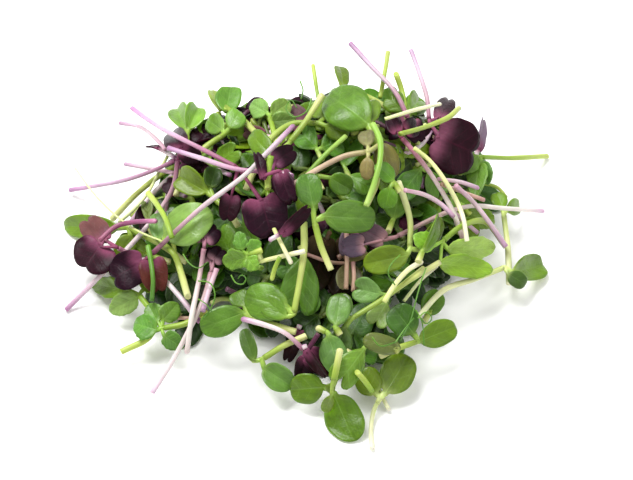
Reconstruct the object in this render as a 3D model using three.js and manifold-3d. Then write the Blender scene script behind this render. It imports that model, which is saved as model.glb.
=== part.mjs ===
// A heap of loose, cut mixed microgreens on a table: radish sprouts with pink stems and purple kidney-shaped
// seed leaves, sunflower sprouts with pale stems and oval seed leaves, and pea shoots with toothed leaflets.
// Units are millimetres, +Z is up, the table is z = 0, and the front of the heap is towards -Y.
//
// The sprouts are drawn on a layout sheet, a slanted sheet through the middle of the heap, seen from an eye
// above its front. Each sprout is laid on those before it: it keeps its place on the sheet and bends towards
// the eye wherever it would cross an earlier one.
import * as THREE from 'three';
import { mergeVertices } from 'three/addons/utils/BufferGeometryUtils.js';
import Module from 'manifold-3d';

const wasm = await Module();
wasm.setup();

// ---- driving dimensions ---------------------------------------------------------------------------------

const GRID = 0.4; // one step of the layout sheet
const SHEET_MIDDLE = { right: 316.5, down: 240 }; // the sheet's middle, in steps from its top left corner
const SHEET_CENTRE = new THREE.Vector3(2.4, -19.2, 40); // where that middle is in the heap
const EYE_DISTANCE = 800;
const EYE_ELEVATION = THREE.MathUtils.degToRad(45);

// The mound that the sprouts follow: its height, and its edges on the sheet in steps.
const MOUND = { height: 68, peak: 325, leftReach: 262, rightReach: 225, shoulder: 150, foot: 425 };
const FIRST_SHARE = 0.72; // the first sprout that is seen lies at this share of the mound's height
const LAST_SHARE = 0.95;

const STEM_GAP = 0.5; // added to a stem's radius to keep it clear of the next sprout
const BLADE_REACH = 1.3; // half the room that a blade keeps to the next one
const BEND_REACH = 17; // a bend over another sprout fades out over this length
const BEAD_STEP = 1.6; // spacing of the beads that stand for a sprout when its bends are worked out
const PRESS = 0.3; // what rests on the table is pressed flat by this much
const JOINT_GAP = 0.35; // between a radish's stem and its leaves, which are separate nodes

const STEM_SIDES = 6;
const STEM_STEP = 12; // length of a straight stretch of stem
const PETIOLE_STEP = 7;
const SINK = 1.5; // how deep a petiole starts inside the stem it grows from
const STAGGER = 0.43; // each petiole starts this much further on than the one before it
const SMALL_LEAF = 12.5; // a leaf narrower than this has only two cells across

// Seed leaves and leaflets: where their rows are, from base to tip, the half widths there as shares of the
// widest one, how far the tip draws back at each place across, and how far the sides of the base reach back
// past the petiole, both as shares of the length.
const OUTLINES = {
  kidney: {
    rows: [0, 0.2, 0.5, 0.8, 1], widths: [0.5, 0.86, 1, 0.87, 0.52], cellsAcross: 4, teeth: 0, lobes: 0.14,
    drawnBack: (side) => 0.1 * side ** 2 + 0.1 * Math.max(1 - 2 * side, 0) ** 2,
  },
  heart: {
    rows: [0, 0.25, 0.52, 0.8, 1], widths: [0.2, 0.66, 0.97, 1, 0.74], cellsAcross: 4, teeth: 0, lobes: 0,
    drawnBack: (side) => (side < 0.5 ? 0.26 * (1 - 2 * side) ** 2 : 0.12 * (2 * side - 1) ** 2),
  },
  oval: {
    rows: [0, 0.16, 0.5, 0.84, 1], widths: [0.24, 0.74, 1, 0.76, 0.4], cellsAcross: 3, teeth: 0, lobes: 0,
    drawnBack: (side) => 0.1 * side ** 2,
  },
  toothed: {
    rows: [0, 0.14, 0.28, 0.44, 0.6, 0.76, 0.9, 1], widths: [0.25, 0.7, 0.92, 1, 0.95, 0.78, 0.5, 0.14],
    cellsAcross: 2, teeth: 0.13, lobes: 0, drawnBack: () => 0,
  },
};

const RADISH = {
  outline: OUTLINES.kidney, stemRadius: 1, petioleRadius: 0.75, thickness: 0.9, fold: 0.22, droop: 0.12,
  stemColour: 0xd9a3c4, leafColour: 0x4a1f38, separateLeaves: true,
};
const SUNFLOWER = {
  outline: OUTLINES.oval, stemRadius: 1.5, petioleRadius: 1, thickness: 1.1, fold: 0.1, droop: 0.12,
  leafColour: 0x5d9440,
};
const PEA = {
  outline: OUTLINES.toothed, stemRadius: 1.2, petioleRadius: 0.7, thickness: 0.9, fold: 0.25, droop: 0.1,
  leafColour: 0x5fa03c,
};
const KALE = {
  outline: OUTLINES.heart, stemRadius: 1, petioleRadius: 0.75, thickness: 0.9, fold: 0.15, droop: 0.1,
  leafColour: 0x77a867,
};

// Three bundles of sprouts lie under and behind the others, with their stems grown together where they
// cross. Each fans out from its middle over an arc, in degrees, and its crowns lie at a share of its height.
const UNDERSIDE_BUNDLES = [
  {
    name: 'underside_low', kind: SUNFLOWER, count: 4, turn: 10, arc: 360, middle: [2, 13, 3], end: 0.6,
    reachX: 62, reachY: 54, tail: 10,
  },
  {
    name: 'underside_high', kind: KALE, count: 4, turn: 42, arc: 360, middle: [2, 13, 30], end: 0.6,
    reachX: 44, reachY: 42, tail: 12,
  },
  {
    name: 'underside_back', kind: SUNFLOWER, count: 4, turn: 4, arc: 210, middle: [4, 48, 28], end: 0.2,
    reachX: 74, reachY: 36, tail: 6,
  },
];
const UNDERSIDE = { seed: 11, bow: 6, leafLength: 20, leafWidth: 12, leafSpread: 0.8 };

// ---- the sprouts that are seen, from the back and bottom to the front and top ---------------------------
// Points are [right, down] steps on the sheet, with a third number for extra height in millimetres.

const leaf = (from, to, width, turn = 0) => ({ from, to, width, turn });
const sprout = (name, kind, stem, leaves, lift = 0) => ({ name, kind, stem, leaves, lift });

const SEEN_SPROUTS = [
  sprout('sunflower_back_left', SUNFLOWER, [[176, 196], [184, 165], [187, 136]],
    [leaf([186, 129], [175, 104], 9), leaf([189, 129], [199, 104], 9)]),
  sprout('sunflower_back_middle', SUNFLOWER, [[268, 148], [247, 124], [224, 106]],
    [leaf([226, 112], [231, 86], 11), leaf([221, 110], [212, 86], 6, 30)]),
  sprout('sunflower_back_low', SUNFLOWER, [[189, 163], [207, 146], [222, 136]],
    [leaf([223, 130], [204, 117], 9), leaf([230, 128], [241, 110], 9)]),
  sprout('pea_back', PEA, [[283, 168], [276, 140], [270, 118]],
    [leaf([272, 114], [292, 101], 9), leaf([267, 113], [250, 103], 9), leaf([272, 122], [296, 119], 8)]),
  sprout('sunflower_back_curled', SUNFLOWER, [[400, 116], [372, 99], [346, 88]],
    [leaf([342, 86], [343, 61], 7, 30), leaf([348, 92], [330, 104], 9)]),
  sprout('kale_back_right', KALE, [[408, 150], [408, 130], [406, 113]],
    [leaf([402, 111], [388, 96], 10), leaf([409, 111], [423, 96], 10)]),
  sprout('radish_back', RADISH, [[350, 43, 8], [370, 65, 6], [395, 92, 3], [408, 118]],
    [leaf([404, 122], [390, 134], 9), leaf([412, 124], [418, 140], 9)]),
  sprout('pea_right_cut', PEA, [[547, 156, -4], [512, 158], [482, 157]],
    [leaf([480, 163], [474, 196], 9, 15), leaf([476, 156], [462, 170], 9), leaf([482, 162], [488, 184], 7)]),
  sprout('radish_right_tall', RADISH, [[411, 50, 6], [420, 75, 4], [427, 98, 2], [429, 119]],
    [leaf([440, 117], [452, 93], 8.5), leaf([440, 138], [478, 155], 25)]),
  sprout('sunflower_far_right', SUNFLOWER, [[509, 284], [508, 250], [504, 216]],
    [leaf([507, 210], [525, 204], 7.5), leaf([502, 208], [497, 191], 7, 20)]),
  sprout('sunflower_right_tip', SUNFLOWER, [[418, 317], [444, 290], [475, 279], [503, 268]],
    [leaf([513, 273], [545, 264], 12), leaf([508, 274], [526, 285], 7)]),
  sprout('sunflower_far_left', SUNFLOWER, [[186, 262], [160, 244], [130, 229]],
    [leaf([117, 228], [62, 226], 11), leaf([131, 236], [119, 257], 9)]),
  sprout('radish_left_low', RADISH, [[70, 190], [95, 186], [125, 180], [152, 171], [176, 160]],
    [leaf([184, 154], [198, 146], 8), leaf([184, 162], [200, 166], 8)]),
  sprout('pea_left_low', PEA, [[121, 352], [150, 336], [154, 318], [140, 296]],
    [leaf([130, 291], [83, 282], 9), leaf([137, 297], [109, 312], 10), leaf([143, 290], [156, 276], 8)]),
  sprout('pea_left_front', PEA, [[208, 312], [184, 324], [164, 328]],
    [leaf([157, 330], [131, 323], 11), leaf([164, 336], [182, 347], 8), leaf([163, 320], [178, 303], 9),
      leaf([158, 322], [148, 304], 8)]),
  sprout('radish_left_cross', RADISH, [[66, 310], [100, 276], [130, 246], [152, 220], [172, 190], [178, 160]],
    [leaf([184, 150], [199, 160], 9), leaf([180, 147], [167, 126], 11)]),
  sprout('radish_left_pair', RADISH, [[200, 322], [180, 297], [162, 277], [142, 260], [118, 248]],
    [leaf([100, 247], [84, 270], 18), leaf([104, 239], [83, 216], 11.5)]),
  sprout('radish_front_long', RADISH, [[152, 393], [170, 365], [186, 336], [203, 300], [211, 272]],
    [leaf([214, 260], [223, 248], 8), leaf([210, 260], [204, 246], 7)]),
  sprout('radish_front_short', RADISH, [[187, 352], [192, 315], [199, 280], [204, 248]],
    [leaf([206, 238], [218, 228], 9), leaf([202, 238], [192, 226], 8)]),
  sprout('sunflower_left_broad', SUNFLOWER, [[188, 297], [182, 276], [175, 256], [165, 245]],
    [leaf([166, 237], [208, 212], 16), leaf([159, 240], [156, 209], 7)]),
  sprout('sunflower_left_folded', SUNFLOWER, [[238, 226], [228, 211], [215, 199]],
    [leaf([207, 192], [174, 173], 11.5), leaf([210, 188], [216, 166], 8)]),
  sprout('sunflower_top_pale', SUNFLOWER, [[246, 190], [256, 166], [270, 140], [292, 124], [316, 123]],
    [leaf([324, 118], [318, 96], 12), leaf([326, 126], [348, 134], 9)]),
  sprout('sunflower_top_broad', SUNFLOWER, [[366, 206], [376, 184], [378, 158], [372, 134]],
    [leaf([368, 124], [322, 90], 19), leaf([372, 122], [368, 98], 9)], 4),
  sprout('sunflower_top_oval', SUNFLOWER, [[322, 95], [308, 118], [290, 142]],
    [leaf([272, 156], [250, 133], 9), leaf([284, 154], [276, 180], 9)]),
  sprout('kale_middle', KALE, [[346, 136], [326, 154], [306, 176]],
    [leaf([300, 186], [276, 196], 9), leaf([306, 188], [308, 214], 9)]),
  sprout('radish_upper_left', RADISH, [[132, 108], [150, 121], [170, 133], [202, 149], [236, 167]],
    [leaf([231, 198], [227, 221], 9), leaf([262, 202], [272, 237], 18)], 5),
  sprout('radish_upper_middle', RADISH, [[168, 148], [200, 158], [236, 169], [268, 172]],
    [leaf([282, 176], [291, 203], 10, 20), leaf([276, 160], [295, 149], 9)], 3),
  sprout('radish_left_across', RADISH, [[293, 126], [266, 154], [245, 175], [200, 209], [152, 254]],
    [leaf([141, 263], [110, 281], 15), leaf([152, 263], [158, 289], 12)], 2),
  sprout('sunflower_olive', SUNFLOWER, [[290, 187], [320, 168], [345, 156], [366, 152]],
    [leaf([368, 146], [365, 126], 7), leaf([368, 158], [366, 178], 6), leaf([381, 144], [391, 178], 10)], 2),
  sprout('radish_right_arc', RADISH, [[543, 211], [500, 208], [472, 206], [448, 212], [424, 223], [398, 236]],
    [leaf([382, 239], [360, 228], 9), leaf([362, 245], [341, 248], 9)], 1),
  sprout('radish_right_down', RADISH, [[464, 242], [452, 210], [432, 176], [413, 151], [402, 138]],
    [leaf([397, 131], [389, 115], 7), leaf([406, 130], [420, 124], 9)], 3),
  sprout('sunflower_right_bent', SUNFLOWER, [[398, 182], [404, 198], [410, 220], [410, 246]],
    [leaf([407, 255], [366, 264], 11), leaf([418, 250], [448, 220], 9, 30)], 3),
  sprout('pea_right', PEA, [[506, 247], [486, 222], [462, 226], [444, 240]],
    [leaf([448, 250], [498, 247], 10), leaf([440, 264], [496, 270], 10), leaf([434, 246], [414, 236], 8)]),
  sprout('kale_right', KALE, [[424, 268], [406, 282], [391, 294]],
    [leaf([381, 294], [354, 288], 10), leaf([386, 303], [374, 326], 10)], 1),
  sprout('sunflower_front_left', SUNFLOWER, [[296, 332], [270, 324], [252, 318]],
    [leaf([243, 313], [200, 329], 11.5), leaf([244, 306], [236, 290], 9)]),
  sprout('sunflower_middle_stem', SUNFLOWER, [[304, 222], [304, 250], [299, 285], [294, 312]],
    [leaf([287, 308], [242, 295], 15), leaf([286, 317], [258, 298], 9)], 2),
  sprout('sunflower_hero', SUNFLOWER, [[331, 270], [321, 246], [315, 224]],
    [leaf([325, 216], [377, 219], 13.5), leaf([313, 206], [306, 172], 10.5)], 5),
  sprout('sunflower_front_pale', SUNFLOWER, [[440, 262], [410, 280], [380, 301], [354, 317]],
    [leaf([343, 318], [338, 293], 10.5), leaf([344, 328], [331, 366], 11)], 2),
  sprout('sunflower_tail_left', SUNFLOWER, [[306, 336], [285, 345], [264, 358]],
    [leaf([254, 361], [243, 328], 6), leaf([264, 368], [292, 387], 10)]),
  sprout('radish_front_dark', RADISH, [[243, 319], [262, 324], [285, 333], [304, 350]],
    [leaf([310, 356], [336, 372], 10), leaf([306, 360], [300, 382], 8)], 1),
  sprout('sunflower_front_right', SUNFLOWER, [[372, 449], [371, 428], [374, 410], [379, 400]],
    [leaf([386, 392], [409, 354], 14), leaf([376, 394], [361, 369], 11.5)]),
  sprout('sunflower_right_low', SUNFLOWER, [[380, 356], [398, 348], [416, 342]],
    [leaf([420, 341], [457, 326], 10.5), leaf([413, 333], [393, 307], 13)]),
  sprout('sunflower_tail_tip', SUNFLOWER, [[350, 350], [339, 370], [332, 387]],
    [leaf([335, 396], [354, 440], 15.5), leaf([323, 387], [290, 390], 12.5)]),
];

// ---- places in the heap ---------------------------------------------------------------------------------

const EYE_DIRECTION = new THREE.Vector3(0, -Math.cos(EYE_ELEVATION), Math.sin(EYE_ELEVATION));
const SHEET_UP = new THREE.Vector3(0, Math.sin(EYE_ELEVATION), Math.cos(EYE_ELEVATION));
const EYE = SHEET_CENTRE.clone().addScaledVector(EYE_DIRECTION, EYE_DISTANCE);

function moundHeight(right, down) {
  const reach = right < MOUND.peak ? MOUND.leftReach : MOUND.rightReach;
  const side = Math.min(Math.abs(right - MOUND.peak) / reach, 1);
  const fall = THREE.MathUtils.clamp((down - MOUND.shoulder) / (MOUND.foot - MOUND.shoulder), 0, 1);
  return MOUND.height * (1 - side ** 2) * (1 - fall);
}

function sheetPoint(right, down) {
  const point = SHEET_CENTRE.clone();
  point.x += GRID * (right - SHEET_MIDDLE.right);
  return point.addScaledVector(SHEET_UP, GRID * (SHEET_MIDDLE.down - down));
}

function placeAtHeight(right, down, height) {
  const ray = sheetPoint(right, down).sub(EYE);
  return EYE.clone().addScaledVector(ray, (height - EYE.z) / ray.z);
}

// Where a point of space is seen on the sheet, in millimetres, and its distance from the eye.
function seenFromEye(point) {
  const ray = point.clone().sub(EYE);
  const scale = EYE_DISTANCE / -ray.dot(EYE_DIRECTION);
  return { across: ray.x * scale, up: ray.dot(SHEET_UP) * scale, far: ray.length() };
}

const towardsEye = (point) => EYE.clone().sub(point).normalize();

// ---- one sprout, before it is bent clear of the others --------------------------------------------------

function placedSprout(plan, share) {
  const put = ([right, down, extra = 0]) => {
    const height = share * moundHeight(right, down) + plan.lift + extra;
    return placeAtHeight(right, down, Math.max(height, plan.kind.stemRadius));
  };
  const leaves = plan.leaves.map((item) => ({ ...item, from: put(item.from), to: put(item.to) }));
  return { name: plan.name, kind: plan.kind, sprouts: [{ stem: plan.stem.map(put), leaves }] };
}

function seededRandom(seed) {
  let state = seed;
  return () => {
    state = (state * 1664525 + 1013904223) % 4294967296;
    return state / 4294967296;
  };
}

// A sprout that runs out from the middle of its bundle, with its leaves spread at its end.
function undersideSprout(bundle, index, random) {
  const share = (index + 0.4 * random()) / bundle.count;
  const angle = THREE.MathUtils.degToRad(bundle.turn + bundle.arc * share);
  const reach = 0.7 + 0.3 * random();
  const middle = new THREE.Vector3(...bundle.middle);
  const crown = new THREE.Vector3(bundle.reachX * Math.cos(angle), bundle.reachY * Math.sin(angle), 0)
    .multiplyScalar(reach).add(middle);
  crown.z *= bundle.end;
  const along = crown.clone().sub(middle).normalize();
  const sideways = new THREE.Vector3(-along.y, along.x, 0).normalize();
  const bowed = middle.clone().lerp(crown, 0.5).addScaledVector(sideways, UNDERSIDE.bow);
  const stem = [middle.clone().addScaledVector(along, -bundle.tail), middle, bowed, crown];
  const leaves = [UNDERSIDE.leafSpread, -UNDERSIDE.leafSpread].map((spread) => {
    const direction = along.clone().multiplyScalar(Math.cos(spread));
    direction.addScaledVector(sideways, Math.sin(spread));
    const from = crown.clone().addScaledVector(direction, 4);
    const to = from.clone().addScaledVector(direction, UNDERSIDE.leafLength);
    return { from, to, width: UNDERSIDE.leafWidth, turn: 0 };
  });
  return { stem, leaves };
}

function undersideBundles() {
  const random = seededRandom(UNDERSIDE.seed);
  return UNDERSIDE_BUNDLES.map((bundle) => {
    const { name, kind, count } = bundle;
    const sprouts = Array.from({ length: count }, (_, index) => undersideSprout(bundle, index, random));
    return { name, kind, sprouts };
  });
}

function blade(kind, item) {
  const length = item.from.distanceTo(item.to);
  const along = item.to.clone().sub(item.from).normalize();
  const normal = towardsEye(item.from);
  normal.addScaledVector(along, -normal.dot(along)).normalize();
  normal.applyAxisAngle(along, THREE.MathUtils.degToRad(item.turn));
  const across = along.clone().cross(normal);
  return { kind, item, length, along, normal, across };
}

// A point of a blade's middle surface: part runs from base to tip, side from -1 to 1 across.
function bladePoint(shape, part, side) {
  const { kind, item, length } = shape;
  const { rows, widths, teeth, lobes, drawnBack } = kind.outline;
  const beyond = rows.findIndex((row) => row > part);
  const next = beyond < 0 ? rows.length - 1 : Math.max(beyond, 1);
  const blend = (part - rows[next - 1]) / (rows[next] - rows[next - 1]);
  const tooth = 1 - teeth * Math.cos(Math.PI * (next - 1 + blend)) * Math.abs(side);
  const halfWidth = 0.5 * item.width * THREE.MathUtils.lerp(widths[next - 1], widths[next], blend) * tooth;
  const drawn = part ** 3 * drawnBack(Math.abs(side)) + (1 - part) ** 3 * lobes * side ** 2;
  const reach = length * (part - drawn);
  const rise = kind.fold * halfWidth * side ** 2 - kind.droop * length * part ** 2;
  return item.from.clone()
    .addScaledVector(shape.along, reach)
    .addScaledVector(shape.across, halfWidth * side)
    .addScaledVector(shape.normal, rise);
}

function petioleCurve(crown, heading, item, begin) {
  const start = crown.clone().addScaledVector(heading, begin);
  const leaving = crown.clone().addScaledVector(heading, Math.max(begin, 0) + 0.8);
  return new THREE.CatmullRomCurve3([start, leaving, item.from], false, 'centripetal');
}

function shapedSprout(kind, { stem, leaves }) {
  const stemCurve = new THREE.CatmullRomCurve3(stem, false, 'centripetal');
  const heading = stemCurve.getTangent(1);
  const sink = kind.separateLeaves ? 0 : SINK;
  const blades = leaves.map((item, index) => (
    { ...blade(kind, item), petiole: petioleCurve(stem.at(-1), heading, item, STAGGER * index - sink) }
  ));
  return { stemCurve, blades };
}

function shapedBundle({ name, kind, sprouts }) {
  const shaped = sprouts.map((item) => shapedSprout(kind, item));
  const stemCurves = shaped.map((item) => item.stemCurve);
  const blades = shaped.flatMap((item) => item.blades);
  return { name, kind, stemCurves, blades };
}

// ---- laying a sprout on the earlier ones ----------------------------------------------------------------

function beadsAlong(curve, radius) {
  const count = Math.ceil(curve.getLength() / BEAD_STEP);
  return curve.getSpacedPoints(count).map((point) => ({ point, radius: radius + STEM_GAP, half: radius }));
}

function beadsOfBlade(shape) {
  const rows = Math.ceil(shape.length / BEAD_STEP);
  const columns = 2 * Math.ceil(shape.item.width / BEAD_STEP / 2);
  const beads = [];
  for (let row = 0; row <= rows; row += 1) {
    for (let column = 0; column <= columns; column += 1) {
      const point = bladePoint(shape, row / rows, (2 * column) / columns - 1);
      beads.push({ point, radius: BLADE_REACH, half: shape.kind.thickness / 2 });
    }
  }
  return beads;
}

function beadsOf({ kind, stemCurves, blades }) {
  return [
    ...stemCurves.flatMap((curve) => beadsAlong(curve, kind.stemRadius)),
    ...blades.flatMap((shape) => beadsAlong(shape.petiole, kind.petioleRadius)),
    ...blades.flatMap(beadsOfBlade),
  ].map((bead) => ({ ...bead, ...seenFromEye(bead.point) }));
}

// How far a bead has to move towards the eye to lie on the earlier beads and on the table.
function neededShift(bead, earlier) {
  let shift = (bead.half - PRESS - bead.point.z) / towardsEye(bead.point).z;
  for (const other of earlier) {
    const room = bead.radius + other.radius;
    const apart = Math.hypot(bead.across - other.across, bead.up - other.up);
    if (apart < room) {
      shift = Math.max(shift, bead.far - other.far + Math.sqrt(room ** 2 - apart ** 2));
    }
  }
  return Math.max(shift, 0);
}

// A function that gives the shift of any point of the sprout, fading out away from each needed one.
function bendOf(beads, earlier) {
  const held = beads
    .map((bead) => ({ point: bead.point, shift: neededShift(bead, earlier) }))
    .filter((bead) => bead.shift > 0);
  return (point) => {
    let shift = 0;
    for (const bead of held) {
      const part = bead.point.distanceTo(point) / BEND_REACH;
      if (part < 1) {
        shift = Math.max(shift, bead.shift * Math.cos((Math.PI / 2) * part) ** 2);
      }
    }
    return point.clone().addScaledVector(towardsEye(point), shift);
  };
}

function layDown(bundles) {
  const earlier = [];
  return bundles.map((bundle) => {
    const beads = beadsOf(bundle);
    const bend = bendOf(beads, earlier);
    for (const bead of beads) {
      const point = bend(bead.point);
      earlier.push({ ...bead, point, far: point.distanceTo(EYE) });
    }
    return { ...bundle, bend };
  });
}

// ---- solids ---------------------------------------------------------------------------------------------

// A closed solid through rings of points. Opposite points of a ring are joined across its two ends, and the
// second half of each ring is split into triangles as the mirror image of the first.
function loft(rings) {
  const sides = rings[0].length;
  const triangles = [];
  const quad = (a, b, c, d, mirrored) => {
    triangles.push(...(mirrored ? [a, b, d, b, c, d] : [a, b, c, a, c, d]));
  };
  for (let ring = 0; ring + 1 < rings.length; ring += 1) {
    for (let side = 0; side < sides; side += 1) {
      const next = (side + 1) % sides;
      const [low, high] = [ring * sides, (ring + 1) * sides];
      quad(low + side, low + next, high + next, high + side, side >= sides / 2);
    }
  }
  const last = (rings.length - 1) * sides;
  for (let side = 0; side < sides / 2 - 1; side += 1) {
    const [a, b, c, d] = [side, sides - 1 - side, sides - 2 - side, side + 1];
    quad(a, b, c, d, false);
    quad(last + a, last + d, last + c, last + b, false);
  }
  const positions = rings.flat().flatMap((point) => point.toArray());
  const geometry = new THREE.BufferGeometry();
  geometry.setAttribute('position', new THREE.Float32BufferAttribute(positions, 3));
  geometry.setIndex(triangles);
  return geometry;
}

function solidOf(geometry) {
  return new wasm.Manifold(new wasm.Mesh({
    numProp: 3,
    vertProperties: geometry.getAttribute('position').array,
    triVerts: new Uint32Array(geometry.getIndex().array),
  }));
}

function stemSolid(kind, stemCurve, bend) {
  const length = stemCurve.getLength();
  const end = kind.separateLeaves ? 1 - JOINT_GAP / length : 1;
  const segments = Math.ceil(length / STEM_STEP);
  const points = Array.from({ length: segments + 1 }, (_, index) => (
    bend(stemCurve.getPointAt((end * index) / segments))
  ));
  const path = new THREE.CatmullRomCurve3(points, false, 'centripetal');
  const frames = path.computeFrenetFrames(segments, false);
  return solidOf(loft(points.map((point, index) => (
    Array.from({ length: STEM_SIDES }, (_, side) => {
      const angle = (2 * Math.PI * side) / STEM_SIDES;
      return point.clone()
        .addScaledVector(frames.normals[index], kind.stemRadius * Math.cos(angle))
        .addScaledVector(frames.binormals[index], kind.stemRadius * Math.sin(angle));
    })
  ))));
}

const cellsAcross = (shape) => (shape.item.width < SMALL_LEAF ? 2 : shape.kind.outline.cellsAcross);

// One ring round a petiole, with as many points as the blade's rings and in the same order.
function petioleRing(shape, bend, part) {
  const { petiole, kind } = shape;
  const step = 0.01;
  const middle = bend(petiole.getPointAt(part));
  const along = bend(petiole.getPointAt(part + step)).sub(middle).normalize();
  const turn = new THREE.Quaternion().setFromUnitVectors(shape.along, along);
  const across = shape.across.clone().applyQuaternion(turn);
  const normal = shape.normal.clone().applyQuaternion(turn);
  const points = 2 * (cellsAcross(shape) + 1);
  return Array.from({ length: points }, (_, index) => {
    const angle = Math.PI * (1 - (2 * index + 1) / points);
    return middle.clone()
      .addScaledVector(across, kind.petioleRadius * Math.cos(angle))
      .addScaledVector(normal, kind.petioleRadius * Math.sin(angle));
  });
}

function bladeRing(shape, bend, part) {
  const { thickness } = shape.kind;
  const columns = cellsAcross(shape);
  const step = 0.02;
  const top = [];
  const bottom = [];
  for (let column = 0; column <= columns; column += 1) {
    const side = (2 * column) / columns - 1;
    const middle = bend(bladePoint(shape, part, side));
    const along = bend(bladePoint(shape, part + step, side)).sub(bend(bladePoint(shape, part - step, side)));
    const across = bend(bladePoint(shape, part, side + step)).sub(bend(bladePoint(shape, part, side - step)));
    const normal = across.cross(along).normalize();
    top.push(middle.clone().addScaledVector(normal, thickness / 2));
    bottom.unshift(middle.clone().addScaledVector(normal, -thickness / 2));
  }
  return [...top, ...bottom];
}

function leafSolid(shape, bend) {
  const stretches = Math.ceil(shape.petiole.getLength() / PETIOLE_STEP);
  return solidOf(loft([
    ...Array.from({ length: stretches }, (_, index) => petioleRing(shape, bend, index / stretches)),
    ...shape.kind.outline.rows.map((row) => bladeRing(shape, bend, row)),
  ]));
}

const union = (solids) => solids.reduce((whole, solid) => whole.add(solid));

// ---- nodes ----------------------------------------------------------------------------------------------

function aboveTable(solid) {
  const size = 1000;
  const box = new THREE.BoxGeometry(size, size, size).translate(0, 0, size / 2);
  return solid.intersect(solidOf(welded(box)));
}

function welded(geometry) {
  geometry.deleteAttribute('normal');
  geometry.deleteAttribute('uv');
  return mergeVertices(geometry);
}

// The triangles of a solid's largest shell, which leaves out sealed hollows and loose scraps.
function largestShell({ triVerts, numVert }) {
  const parent = Array.from({ length: numVert }, (_, index) => index);
  const rootOf = (index) => {
    let root = index;
    while (parent[root] !== root) {
      root = parent[root];
    }
    parent[index] = root;
    return root;
  };
  const shells = new Map();
  for (let corner = 0; corner < triVerts.length; corner += 3) {
    const root = rootOf(triVerts[corner]);
    parent[rootOf(triVerts[corner + 1])] = root;
    parent[rootOf(triVerts[corner + 2])] = root;
  }
  for (let corner = 0; corner < triVerts.length; corner += 3) {
    const root = rootOf(triVerts[corner]);
    shells.set(root, [...(shells.get(root) ?? []), ...triVerts.slice(corner, corner + 3)]);
  }
  return [...shells.values()].reduce((best, shell) => (shell.length > best.length ? shell : best));
}

function meshOf(name, solid, colour) {
  const cut = aboveTable(solid).getMesh();
  const geometry = new THREE.BufferGeometry();
  geometry.setAttribute('position', new THREE.Float32BufferAttribute(cut.vertProperties, 3));
  geometry.setIndex(largestShell(cut));
  const material = new THREE.MeshStandardMaterial({ color: colour, roughness: 0.45, metalness: 0 });
  const mesh = new THREE.Mesh(geometry, material);
  mesh.name = name;
  return mesh;
}

function nodesOf({ name, kind, stemCurves, blades, bend }) {
  const stems = union(stemCurves.map((curve) => stemSolid(kind, curve, bend)));
  const leaves = union(blades.map((shape) => leafSolid(shape, bend)));
  if (kind.separateLeaves) {
    return [
      meshOf(`${name}_stem`, stems, kind.stemColour),
      meshOf(`${name}_leaves`, leaves, kind.leafColour),
    ];
  }
  return [meshOf(name, stems.add(leaves), kind.leafColour)];
}

function heap() {
  const lastIndex = SEEN_SPROUTS.length - 1;
  const seen = SEEN_SPROUTS.map((plan, index) => (
    placedSprout(plan, THREE.MathUtils.lerp(FIRST_SHARE, LAST_SHARE, index / lastIndex))
  ));
  const laid = layDown([...undersideBundles(), ...seen].map(shapedBundle));
  const group = new THREE.Group();
  group.add(...laid.flatMap(nodesOf));
  return group;
}

export default heap();
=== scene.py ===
"""The looks of a loose heap of cut mixed microgreens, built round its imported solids.

The sprouts stand in the same table and are laid down by the same rule as the solids, in millimetres, and are
then made as fine meshes in metres. Seedlings of the same kinds fill the heap between and under them.
"""

import math

import bpy
import numpy as np
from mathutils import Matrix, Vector


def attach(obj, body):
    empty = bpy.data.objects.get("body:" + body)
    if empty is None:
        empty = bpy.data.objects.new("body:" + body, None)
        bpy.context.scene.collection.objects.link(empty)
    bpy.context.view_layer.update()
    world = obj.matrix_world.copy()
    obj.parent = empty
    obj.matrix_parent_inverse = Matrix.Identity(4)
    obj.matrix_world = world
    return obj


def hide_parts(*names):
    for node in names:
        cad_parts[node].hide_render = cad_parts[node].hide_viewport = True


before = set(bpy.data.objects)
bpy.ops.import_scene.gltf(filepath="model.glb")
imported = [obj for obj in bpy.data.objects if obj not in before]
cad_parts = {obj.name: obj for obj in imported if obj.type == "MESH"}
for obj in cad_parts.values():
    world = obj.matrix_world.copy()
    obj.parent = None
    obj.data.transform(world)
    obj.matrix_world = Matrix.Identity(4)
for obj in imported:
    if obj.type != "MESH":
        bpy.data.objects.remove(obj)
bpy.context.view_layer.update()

# ---- driving dimensions, as in the solids, in millimetres ----

MM = 0.001
GRID = 0.4
SHEET_MIDDLE = (316.5, 240.0)
SHEET_CENTRE = np.array([2.4, -19.2, 40.0])
EYE_DISTANCE = 800.0
EYE_ELEVATION = math.radians(45)

MOUND = {"height": 68, "peak": 325, "left_reach": 262, "right_reach": 225, "shoulder": 150, "foot": 425}
FIRST_SHARE = 0.72
LAST_SHARE = 0.95

STEM_GAP = 0.5
BLADE_REACH = 1.3
BEND_REACH = 17.0
BEAD_STEP = 1.6
PRESS = 0.3
SINK = 1.5
STAGGER = 0.43

# Rows from base to tip, the width at each row as a share of the leaf's, and the depth of the teeth.
OUTLINES = {
    "kidney": ([0, 0.2, 0.5, 0.8, 1], [0.5, 0.86, 1, 0.87, 0.52], 0),
    "heart": ([0, 0.25, 0.52, 0.8, 1], [0.2, 0.66, 0.97, 1, 0.74], 0),
    "oval": ([0, 0.16, 0.5, 0.84, 1], [0.24, 0.74, 1, 0.76, 0.4], 0),
    "toothed": ([0, 0.14, 0.28, 0.44, 0.6, 0.76, 0.9, 1], [0.25, 0.7, 0.92, 1, 0.95, 0.78, 0.5, 0.14], 0.13),
}


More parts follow.
